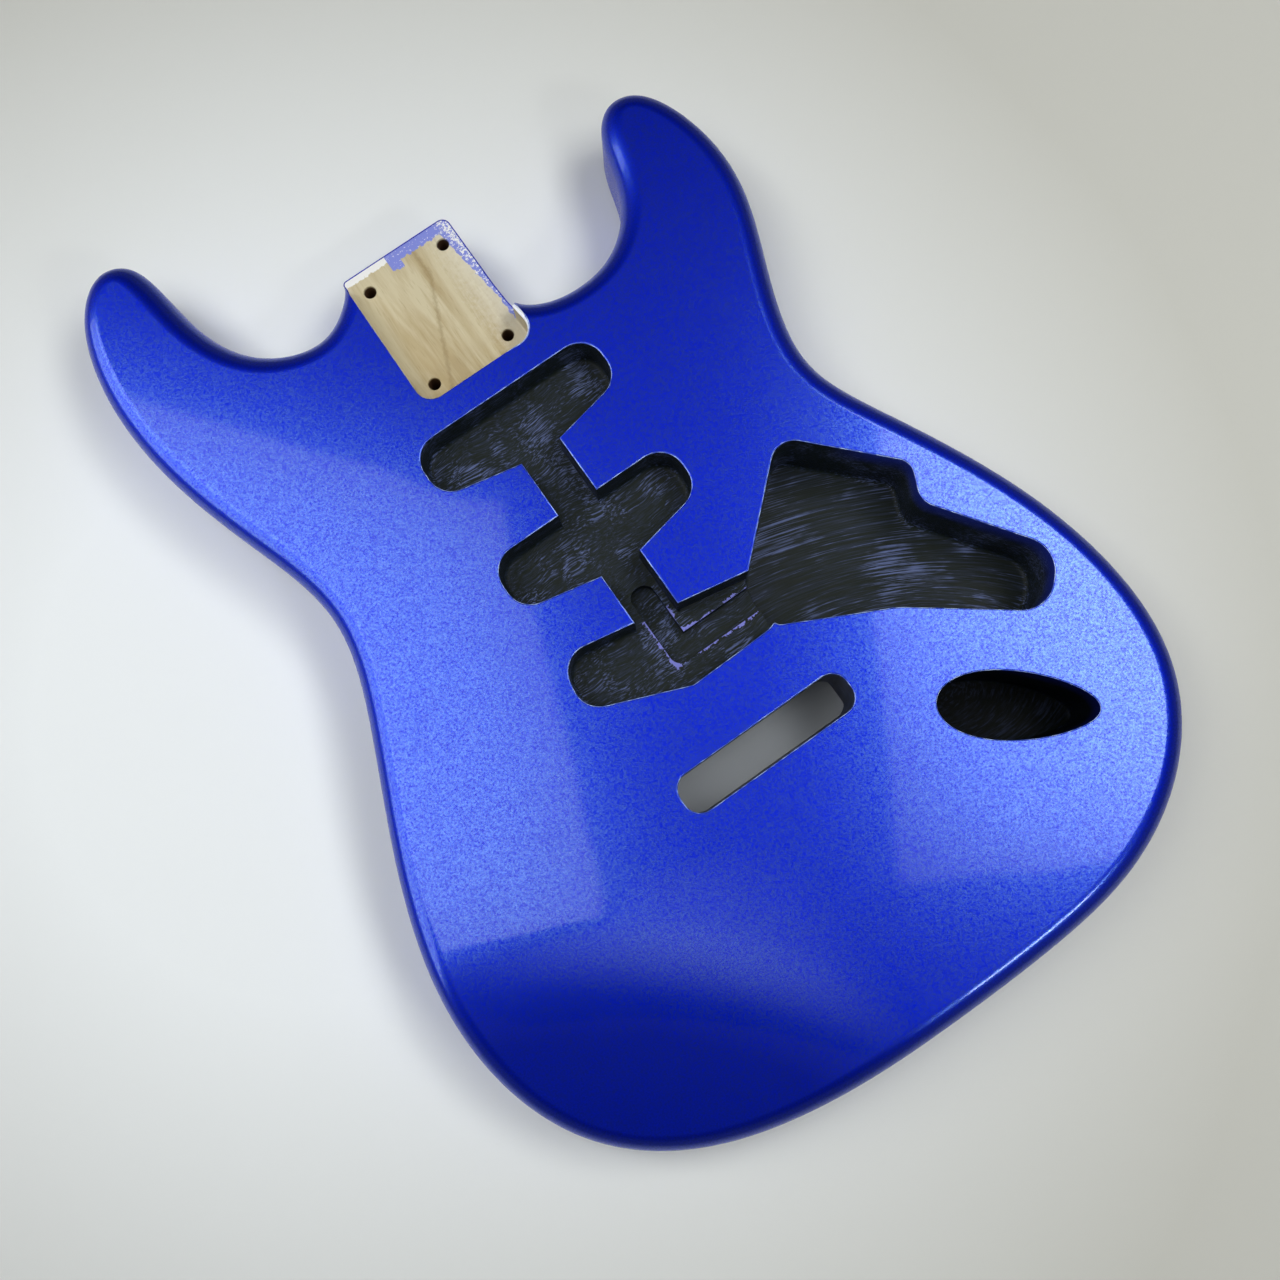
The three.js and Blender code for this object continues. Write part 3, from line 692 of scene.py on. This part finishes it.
def newMaterial(name):
    material = bpy.data.materials.new(name)
    material.use_nodes = True
    material.node_tree.nodes.clear()
    return material, addNode(material, "TexCoord", output="Object")


def finished(material, inputs):
    surface = addNode(material, "BsdfPrincipled", inputs)
    addNode(material, "OutputMaterial", [surface])
    return material


# Scale of a noise whose features have this size
def perMetre(size):
    return 1 / (size * millimetre)


# The three coordinates of a place in millimetres
def inMillimetres(owner, place):
    axes = [addNode(owner, "SeparateXYZ", [place], axis) for axis in "XYZ"]
    return [addNode(owner, "MULTIPLY", [axis, perMetre(1)]) for axis in axes]


def distanceFrom(owner, place, middle):
    offset = tuple(-v * millimetre for v in middle)
    away = addNode(owner, "VectorMath", [place, offset], operation="ADD")
    return addNode(owner, "VectorMath", [away], "Value", operation="LENGTH")


# Sprayed metallic basecoat under gloss lacquer: slanted flakes glow deep blue over the whole face, and
# those that lie flat add a paler glow round each mirrored lamp, with a fine glitter
paint = {
    "deep": "#0018b4", "deepRoughness": 0.55,
    "flat": "#4b6ba2", "flatRoughness": 0.23, "flatShare": 0.28,
    "glitterSize": 0.8,  # many times the real flake, so that it shows
    "glitter": 0.26, "cloudSize": 14, "cloud": 0.02,
    "lacquer": 0.34, "lacquerRoughness": 0.06, "lacquerIor": 1.5,
}


def metallicPaint():
    m, place = newMaterial("blue_metallic_under_gloss_lacquer")
    glitter, clouds = [
        addNode(m, "TexNoise", {"Vector": place, "Scale": perMetre(paint[size]), "Detail": detail})
        for size, detail in (("glitterSize", 1.0), ("cloudSize", 3.0))
    ]
    low, high = [paint["flatShare"] + way * paint["glitter"] for way in (-1, 1)]
    share = addNode(m, "MapRange", [glitter, 0.25, 0.75, low, high])
    level = addNode(m, "MapRange", [clouds, 0.3, 0.7, 1 - paint["cloud"], 1 + paint["cloud"]])
    flakes = []
    for kind in ("deep", "flat"):
        tone = addNode(m, "VectorMath", {0: colour(paint[kind])[:3], "Scale": level}, operation="SCALE")
        flakes.append(addNode(m, "BsdfPrincipled", {
            "Base Color": tone, "Metallic": 1.0, "Roughness": paint[kind + "Roughness"],
            "Coat Weight": paint["lacquer"], "Coat Roughness": paint["lacquerRoughness"],
            "Coat IOR": paint["lacquerIor"],
        }))
    addNode(m, "OutputMaterial", [addNode(m, "MixShader", [share, *flakes])])
    return m


# Film edge sanded back at the rims: white primer shows as a pale broken line with a blue cast
primer = {
    "tones": ("#bcd4ff", "#4a66d0"), "patchSize": 4, "detail": 3.0, "change": (0.38, 0.56), "roughness": 0.35,
}

# Overspray on the walls of the bridge slot and the spring well: dark navy with a dry, dusty mist
navy = {
    "tones": ("#1c2540", "#34405f"), "patchSize": 6, "detail": 5.0, "change": (0.4, 0.66), "roughness": 0.5,
}


# Two tones in soft patches
def patchyFinish(name, look):
    m, place = newMaterial(name)
    patches = {"Vector": place, "Scale": perMetre(look["patchSize"]), "Detail": look["detail"]}
    share = addNode(m, "MapRange", [addNode(m, "TexNoise", patches), *look["change"]])
    first, second = [colour(tone) for tone in look["tones"]]
    tone = addNode(m, "Mix", {0: share, 6: first, 7: second}, 2, data_type="RGBA")
    return finished(m, {"Base Color": tone, "Roughness": look["roughness"]})


# Bare alder, machined flat: pale tan with soft wavy grain, masked in the pocket but for its edges,
# where white primer and violet overspray lie on it
wood = {
    "pale": "#c8bc99", "dark": "#ae9b71", "vein": "#86703f", "rubbed": "#dbd6c4", "screwHoleShade": "#3f2713",
    "primer": "#e9e8e2", "lipPrimerPaintedLight": "#f8faff", "overspray": "#7882cf", "roughness": 0.6,
    "grainWidth": 7, "poreWidth": 0.6, "slant": 16, "poreShare": 0.35,
    "ragged": (2.2, 4.0, 0.7), "chips": (1.3, 3.0, 0.8),  # size, detail and roughness of the noise
    "veinTop": (6.6, 54), "veinLean": 0.43, "veinWidth": 1.5, "veinShare": 0.45,
    "rubbedFrom": (12, 24), "rubbedShare": 0.55,
    "bandWidth": 5.6, "tab": (-5.4, 0.2), "tabWidth": 8.8, "bassBand": 3.6,
    "sideStart": (21.0, 64.2), "sideLean": 0.134, "sideFrom": (16.5, 28.0),
    "chipLevel": 0.63, "moreChips": 0.14,
    "lip": (10, 21), "lipEdge": 42.0, "rollFrom": 8.5, "roll": 1 / 23,
    "holeHeights": (28.3, 27.3),  # just below the pocket's floor
}


def bareWood():
    m, place = newMaterial("bare_alder_machined")
    x, y, z = inMillimetres(m, place)
    slanted = addNode(m, "Mapping", {0: place, 2: (0, 0, math.radians(wood["slant"])), 3: (1, 0.09, 0.3)})
    grain = addNode(m, "TexNoise", {
        "Vector": slanted, "Scale": perMetre(wood["grainWidth"]), "Detail": 6.0, "Roughness": 0.62,
        "Distortion": 0.5,
    })
    pores = addNode(m, "TexNoise", {"Vector": slanted, "Scale": perMetre(wood["poreWidth"]), "Detail": 2.0})
    ragged, chips = [
        addNode(m, "TexNoise", {0: place, "Scale": perMetre(size), "Detail": detail, "Roughness": rough})
        for size, detail, rough in (wood["ragged"], wood["chips"])
    ]
    shake = addNode(m, "MapRange", [ragged, 0.3, 0.7, -1.3, 1.3])
    # painted shade: the grain is pushed darker towards the heel wall, where its shadow falls
    heelWallShade = addNode(m, "MapRange", [y, 45, 0, 0, 0.1])
    grain = addNode(m, "ADD", [grain, heelWallShade])
    grain = addNode(m, "MapRange", [grain, 0.42, 0.64])
    fine = addNode(m, "MapRange", [pores, 0.6, 0.78, 0, wood["poreShare"]])

    # one darker vein crosses the pocket at a slant
    drop = addNode(m, "SUBTRACT", [wood["veinTop"][1], y])
    drop = addNode(m, "MAXIMUM", [drop, 0.0])
    veinX = addNode(m, "MULTIPLY_ADD", [drop, -wood["veinLean"], wood["veinTop"][0]])
    aside = addNode(m, "SUBTRACT", [x, veinX])
    aside = addNode(m, "MULTIPLY_ADD", [shake, 0.5, aside])
    aside = addNode(m, "ABSOLUTE", [aside])
    vein = addNode(m, "MapRange", [aside, wood["veinWidth"], 0.0, 0.0, wood["veinShare"]])

    # rubbed paler towards the treble side
    rubbed = addNode(m, "MULTIPLY_ADD", [shake, 3.0, x])
    rubbed = addNode(m, "MapRange", [rubbed, *wood["rubbedFrom"], 0, wood["rubbedShare"]])

    # overspray in a band along the mouth, with a wider tab, and in one down the treble side
    fromMouth = addNode(m, "SUBTRACT", [heel["length"], y])
    fromMouth = addNode(m, "MULTIPLY_ADD", [shake, 0.7, fromMouth])
    afterTab = addNode(m, "GREATER_THAN", [x, wood["tab"][0]])
    onTab = addNode(m, "LESS_THAN", [x, wood["tab"][1]])
    onTab = addNode(m, "MULTIPLY", [onTab, afterTab])
    reach = addNode(m, "MapRange", [onTab, 0, 1, wood["bandWidth"], wood["tabWidth"]])
    mouthBand = addNode(m, "LESS_THAN", [fromMouth, reach])
    mouthBand = addNode(m, "MULTIPLY", [mouthBand, afterTab])
    upTo = addNode(m, "MAXIMUM", [y, wood["sideFrom"][1]])
    sideX = addNode(m, "MULTIPLY_ADD", [upTo, wood["sideLean"], x])
    sideX = addNode(m, "MULTIPLY_ADD", [shake, 0.6, sideX])
    sideEdge = wood["sideStart"][0] + wood["sideStart"][1] * wood["sideLean"]
    sideBand = addNode(m, "GREATER_THAN", [sideX, sideEdge])
    pastCorner = addNode(m, "GREATER_THAN", [y, wood["sideFrom"][0]])
    sideBand = addNode(m, "MULTIPLY", [sideBand, pastCorner])
    misted = addNode(m, "MAXIMUM", [mouthBand, sideBand])

    # white primer: along the mouth on the bass side, and in chips over the overspray
    bassBand = addNode(m, "LESS_THAN", [fromMouth, wood["bassBand"]])
    bassBand = addNode(m, "SUBTRACT", [bassBand, afterTab])
    nearCorner = addNode(m, "MapRange", [sideX, sideEdge - 1, sideEdge + 3.5, 0.0, wood["moreChips"]])
    chips = addNode(m, "ADD", [chips, nearCorner])
    chips = addNode(m, "GREATER_THAN", [chips, wood["chipLevel"]])
    chips = addNode(m, "MULTIPLY", [chips, misted])
    white = addNode(m, "MAXIMUM", [bassBand, chips])

    # and on the lip of the heel corner, which follows the rolled edge down; there the white primer is painted
    # brighter still, as painted light on the lip that faces the lamps
    high = addNode(m, "MULTIPLY_ADD", [shake, 0.3, z])
    rolled = addNode(m, "SUBTRACT", [y, wood["rollFrom"]])
    rolled = addNode(m, "MAXIMUM", [rolled, 0.0])
    rolled = addNode(m, "MULTIPLY", [rolled, rolled])
    high = addNode(m, "MULTIPLY_ADD", [rolled, wood["roll"], high])
    atLip = addNode(m, "GREATER_THAN", [high, wood["lipEdge"]])
    pastHeel = addNode(m, "GREATER_THAN", [x, wood["lip"][0]])
    beforeHeel = addNode(m, "LESS_THAN", [y, wood["lip"][1]])
    for mask in (pastHeel, beforeHeel):
        atLip = addNode(m, "MULTIPLY", [atLip, mask])

    # below the pocket's floor only the screw holes are bare, and their walls are painted dark brown as
    # painted shade inside the narrow holes
    below = addNode(m, "MapRange", [z, *wood["holeHeights"]])
    tone = colour(wood["pale"])
    for share, finish in (
        (grain, "dark"), (fine, "vein"), (vein, "vein"), (rubbed, "rubbed"), (misted, "overspray"),
        (white, "primer"), (atLip, "lipPrimerPaintedLight"), (below, "screwHoleShade"),
    ):
        tone = addNode(m, "Mix", {0: share, 6: tone, 7: colour(wood[finish])}, 2, data_type="RGBA")
    bump = addNode(m, "Bump", {"Height": pores, "Strength": 0.15, "Distance": 0.1 * millimetre})
    return finished(m, {"Base Color": tone, "Roughness": wood["roughness"], "Normal": bump})


# Water based conductive coat, brushed on thick: near black with a green cast, and ridges left by the
# bristles, rubbed to a dull blue where they stand highest
coat = {
    "black": "#151c17", "ridge": "#262f42", "rubbed": "#6a78a8", "rubbedShare": 0.7, "patchSize": 20,
    "edge": "#7a7ecb", "edgeFrom": 124, "edgeWidth": 1.4, "edgeHeight": 1.2, "edgeBreaks": 3.5,
    "strokeWidth": 0.6, "strokeTurn": 3.2, "strokeSlant": 8, "ridgeHeight": 0.3,
    "roughness": 0.5, "sheen": 0.13,
    "swirlMiddle": (72, -212, 0), "swirlTurn": -26, "swirlStretch": 1.8, "swirlFrom": 40,
    "mist": "#2438b4", "mistHeights": (31, 43), "mistPlaces": (98, 110), "mistShare": 0.7,
}


# level scales the tone and the sheen; below 1 it paints shade into the coat
def brushedCoat(name, level):
    m, place = newMaterial(name)
    x, y, z = inMillimetres(m, place)
    # strokes follow the routes, and in the control route they sweep round one middle
    slant = (0, 0, math.radians(coat["strokeSlant"]))
    straightOn = addNode(m, "Mapping", {0: place, 2: slant, 3: (0.1, 1, 1)})
    wobble = addNode(m, "TexNoise", {"Vector": place, "Scale": perMetre(30), "Detail": 2.0}, "Color")
    straightOn = addNode(m, "VectorMath", [wobble, (0.01,) * 3, straightOn], operation="MULTIPLY_ADD")
    away = addNode(m, "Mapping", [
        place, tuple(v * millimetre for v in coat["swirlMiddle"]), (0, 0, math.radians(coat["swirlTurn"])),
        (coat["swirlStretch"], 1, 1),
    ], vector_type="TEXTURE")
    radius = addNode(m, "VectorMath", [away], "Value", operation="LENGTH")
    ahead, across = [addNode(m, "SeparateXYZ", [away], axis) for axis in "YX"]
    angle = addNode(m, "ARCTAN2", [ahead, across])
    # a turn of one radian is drawn as a few millimetres, so that the strokes come out long and thin
    angle = addNode(m, "MULTIPLY", [angle, coat["strokeTurn"] * millimetre])
    swept = addNode(m, "CombineXYZ", [angle, radius, addNode(m, "SeparateXYZ", [place], "Z")])
    inControls = addNode(m, "GREATER_THAN", [x, coat["swirlFrom"]])
    way = addNode(m, "Mix", {0: inControls, 4: straightOn, 5: swept}, 1, data_type="VECTOR")
    strokes = addNode(m, "TexNoise", {
        "Vector": way, "Scale": perMetre(coat["strokeWidth"]), "Detail": 3.0, "Roughness": 0.6,
        "Distortion": 0.4,
    })
    patches = addNode(m, "TexNoise", {"Vector": place, "Scale": perMetre(coat["patchSize"]), "Detail": 3.0})
    ridge = addNode(m, "MapRange", [strokes, 0.45, 0.68])
    worn = addNode(m, "MapRange", [patches, 0.42, 0.6, -0.05, 0.1])
    worn = addNode(m, "ADD", [strokes, worn])
    worn = addNode(m, "MapRange", [worn, 0.58, 0.76, 0, coat["rubbedShare"] * level])

    # the edges of the wire groove are rubbed to a violet line
    half = groove["width"] / 2
    fromAcross = addNode(m, "ADD", [y, groove["turn"]])
    fromDown = addNode(m, "SUBTRACT", [x, groove["offset"]])
    acrossRun, downRun = [
        addNode(m, "SUBTRACT", [addNode(m, "ABSOLUTE", [v]), half])
        for v in (fromAcross, fromDown)
    ]
    beforeRun = addNode(m, "SUBTRACT", [groove["offset"] - half, x])
    aboveRun = addNode(m, "ADD", [y, groove["start"]])
    belowRun = addNode(m, "SUBTRACT", [-groove["turn"] - half, y])
    acrossRun = addNode(m, "MAXIMUM", [acrossRun, beforeRun])
    for end in (aboveRun, belowRun):
        downRun = addNode(m, "MAXIMUM", [downRun, end])
    edge = addNode(m, "MINIMUM", [acrossRun, downRun])
    edge = addNode(m, "ABSOLUTE", [edge])
    breaks = addNode(m, "TexNoise", {
        "Vector": place, "Scale": perMetre(coat["edgeBreaks"]), "Detail": 4.0, "Roughness": 0.7,
    })
    breaks = addNode(m, "MapRange", [breaks, 0.46, 0.62, 0, coat["edgeWidth"]])
    edge = addNode(m, "LESS_THAN", [edge, breaks])
    ledge = body["thickness"] - pickups["depth"] - coat["edgeHeight"]
    nearTop = addNode(m, "GREATER_THAN", [z, ledge])
    offControls = addNode(m, "LESS_THAN", [x, coat["swirlFrom"]])
    pastStart = addNode(m, "LESS_THAN", [y, -coat["edgeFrom"]])
    for mask in (nearTop, offControls, pastStart):
        edge = addNode(m, "MULTIPLY", [edge, mask])

    # blue mist has settled on the upper part of the control route's treble walls
    runs = addNode(m, "MapRange", [patches, 0.35, 0.65, -1.2, 1.2])
    high = addNode(m, "ADD", [z, runs])
    high = addNode(m, "MapRange", [high, *coat["mistHeights"], 0, coat["mistShare"]])
    trebleWall = addNode(m, "MapRange", [x, *coat["mistPlaces"]])
    misted = addNode(m, "MULTIPLY", [high, trebleWall])

    tone = colour(coat["black"])
    for share, finish in ((ridge, "ridge"), (worn, "rubbed"), (edge, "edge"), (misted, "mist")):
        tone = addNode(m, "Mix", {0: share, 6: tone, 7: colour(coat[finish])}, 2, data_type="RGBA")
    tone = addNode(m, "VectorMath", {0: tone, "Scale": level}, operation="SCALE")
    bump = addNode(m, "Bump", {
        "Height": strokes, "Strength": 0.8, "Distance": coat["ridgeHeight"] * millimetre,
    })
    return finished(m, {
        "Base Color": tone, "Roughness": coat["roughness"], "Specular IOR Level": coat["sheen"] * level,
        "Normal": bump,
    })


# Where the film is sanded to its primer: a line round the rims, and the lip of the heel corner
sanded = {
    "steep": 0.85,  # the upward share of a wall's normal is below this
    "heights": (0.1, 0.34), "fromEdge": 3,
    "lipMiddle": (20, 9), "lipReach": (11, 12), "lipAbove": 38, "heelWall": 3,
}

print("materials")
woodMaterial, wallMaterial = bareWood(), patchyFinish("navy_overspray_on_routed_walls", navy)
for piece in pieces:
    piece.data.materials.clear()
for material in (metallicPaint(), patchyFinish("white_primer_sanded_at_the_rims", primer)):
    film.data.materials.append(material)
centres = np.array([face.center for face in film.data.polygons]) / millimetre
normals = np.array([face.normal for face in film.data.polygons])
steep = np.abs(normals[:, 2]) < sanded["steep"]
fromFace = np.minimum(body["thickness"] - centres[:, 2], centres[:, 2])
atRim = (fromFace > sanded["heights"][0]) & (fromFace < sanded["heights"][1])
atRim &= insidePolygon(centres[:, :2], drawnIn(sanded["fromEdge"]))
inward = (normals[:, 0] < -0.1) | (centres[:, 1] < sanded["heelWall"])
nearLip = (np.abs(centres[:, :2] - sanded["lipMiddle"]) < sanded["lipReach"]).all(1)
nearLip &= centres[:, 2] > sanded["lipAbove"]
film.data.polygons.foreach_set("material_index", (steep & (atRim | inward & nearLip)).astype(int))
mainCoat.data.materials.append(brushedCoat("black_conductive_coat_brushed", 1.0))
# the jack route has the same coat, made darker as painted shade in its deep narrow hollow
jackCoat.data.materials.append(brushedCoat("black_conductive_coat_painted_shade", 0.25))
for piece in boards:
    piece.data.materials.append(woodMaterial)
    piece.data.materials.append(wallMaterial)
    for face in piece.data.polygons:
        inBridgeRoutes = face.center[1] / millimetre < -pickups["bridge"] / 2
        face.material_index = int(inBridgeRoutes)


# Stage

print("stage and camera")
far = 4000
table = meshObject("table", [(-far, -far, 0), (far, -far, 0), (far, far, 0), (-far, far, 0)], [(0, 1, 2, 3)])
table.data.transform(Matrix.Scale(millimetre, 4))

tableShade = {
    "pale": "#f0f3f1", "shade": "#bebdb3", "middle": (-128, -66, 0), "near": 150, "far": 430,
    "shadeUnderBody": "#a9adb0", "under": (bridgeSlot["offset"], -bridgeSlot["place"], 0), "underReach": (80, 60),
    "roughness": 0.7,
}


# Painted board with painted light: palest round the body and darker further out as painted light falloff,
# with painted shade under the body where it shows through the bridge slot
def tableTop():
    m, place = newMaterial("pale_matt_table")
    cloud = addNode(m, "TexNoise", {"Vector": place, "Scale": 3.0})
    # painted light falloff: the board is darker the further it lies from the middle
    away = distanceFrom(m, place, tableShade["middle"])
    away = addNode(m, "MULTIPLY_ADD", [cloud, 0.03, away])
    shaded = addNode(m, "MapRange", [away, tableShade["near"] * millimetre, tableShade["far"] * millimetre])
    # painted shade on the board under the body, seen through the bridge slot
    under = distanceFrom(m, place, tableShade["under"])
    under = addNode(m, "MapRange", [under, *[v * millimetre for v in tableShade["underReach"]]])
    tone = colour(tableShade["pale"])
    for share, finish in ((shaded, "shade"), (under, "shadeUnderBody")):
        tone = addNode(m, "Mix", {0: share, 6: tone, 7: colour(tableShade[finish])}, 2, data_type="RGBA")
    return finished(m, {"Base Color": tone, "Roughness": tableShade["roughness"]})


table.data.materials.append(tableTop())

lampHeight = 1000
softLights = {
    # corners as the lacquer mirrors them, for a light at lampHeight
    # strength at the low and the high end of its reach along x
    "left": {
        "corners": [
            (12, 226), (-10, 178), (-37, 78), (-88, -61), (-105, -108), (-126, -152), (-142, -197),
            (-160, -241), (-182, -266), (-219, -256), (-268, -250), (-306, -222), (-345, -195), (-560, -60),
            (-760, 1180), (-220, 514), (-155, 429), (-121, 388), (-86, 349), (-59, 303), (-29, 260),
        ],
        "reach": (-700, 0), "strength": (5.2, 3.7),
    },
    "right": {
        "corners": [
            (138, -421), (146, -432), (177, -448), (208, -466), (240, -481), (268, -502), (299, -520),
            (560, -640), (860, -160), (560, 180), (449, 36), (297, -154), (201, -322), (173, -361),
            (150, -401),
        ],
        "reach": (180, 560), "strength": (2.7, 9.4),
    },
    "faint": {
        "corners": [(-120, -240), (-190, -290), (-420, -330), (-480, -650), (100, -700), (40, -300)],
        "reach": (-300, 0), "strength": (1.7, 1.7), "softMiddle": (-150, -400), "softRadius": 270,
    },
    # a card that leans down beside the left light, which only the rolled edge mirrors
    "card": {
        "corners": [(-560, -60), (-1250, -200, 420), (-1250, 1500, 420), (-760, 1180)],
        "reach": (-1250, -600), "strength": (3.6, 2.8), "onlyMirrored": True,
    },
    "strip": {
        "corners": [(150, -1000), (150, -1150), (450, -1150), (450, -1000)],
        "reach": (150, 450), "strength": (25, 25),
    },
}
fabric = "#fbfdff"


# White fabric that glows, a little stronger towards one side
def softboxFabric(name, light):
    m, place = newMaterial(f"softbox_{name}_fabric")
    across = addNode(m, "SeparateXYZ", [place])
    ends = [x * millimetre for x in light["reach"]]
    strength = addNode(m, "MapRange", [across, *ends, *light["strength"]])
    if "softMiddle" in light:
        away = distanceFrom(m, place, (*light["softMiddle"], lampHeight))
        radius = light["softRadius"] * millimetre
        fade = addNode(m, "MapRange", [away, radius, 0], interpolation_type="SMOOTHSTEP")
        strength = addNode(m, "MULTIPLY", [strength, fade])
    addNode(m, "OutputMaterial", [addNode(m, "Emission", [colour(fabric), strength])])
    return m


for name, light in softLights.items():
    corners = [(*corner, lampHeight)[:3] for corner in light["corners"]]
    panel = meshObject(f"softbox_{name}", corners, [tuple(range(len(corners)))])
    panel.data.transform(Matrix.Scale(millimetre, 4))
    panel.data.materials.append(softboxFabric(name, light))
    panel.visible_camera = False
    panel.visible_diffuse = "onlyMirrored" not in light

# The room is pale overhead, behind the lights, dim half way down and pale again towards the table
room = {
    "colour": "#eef2ff", "top": 0.2, "middle": 0.03, "low": 0.16,
    "topFrom": (0.8, 0.9), "lowFrom": (0.55, 0.35),  # how far upwards one looks, where 1 is straight up
}
world = bpy.data.worlds.new("studio")
scene.world = world
world.use_nodes = True
lift = addNode(world, "SeparateXYZ", [addNode(world, "TexCoord")], "Z")
upper = addNode(world, "MapRange", [lift, *room["topFrom"], room["middle"], room["top"]])
lower = addNode(world, "MapRange", [lift, *room["lowFrom"], 0, room["low"] - room["middle"]])
level = addNode(world, "ADD", [upper, lower])
background = world.node_tree.nodes["Background"]
background.inputs["Color"].default_value = colour(room["colour"])
world.node_tree.links.new(level, background.inputs["Strength"])

cameraView = {
    "place": (-43.5, -190.5, 519.2),
    "right": (0.8189, -0.5737, -0.0164),
    "down": (-0.5701, -0.8098, -0.1388),
    "ahead": (0.0664, 0.123, -0.9902),
    "lens": 33.53,
}
camera = bpy.data.objects.new("camera", bpy.data.cameras.new("camera"))
camera.data.lens = cameraView["lens"]
camera.data.sensor_width = 36
camera.data.clip_start = 0.01
up, back = [[-v for v in cameraView[way]] for way in ("down", "ahead")]
turn = Matrix([cameraView["right"], up, back]).transposed()
camera.matrix_world = Matrix.Translation(Vector(cameraView["place"]) * millimetre) @ turn.to_4x4()
scene.collection.objects.link(camera)
scene.camera = camera
scene.view_settings.view_transform = "Standard"
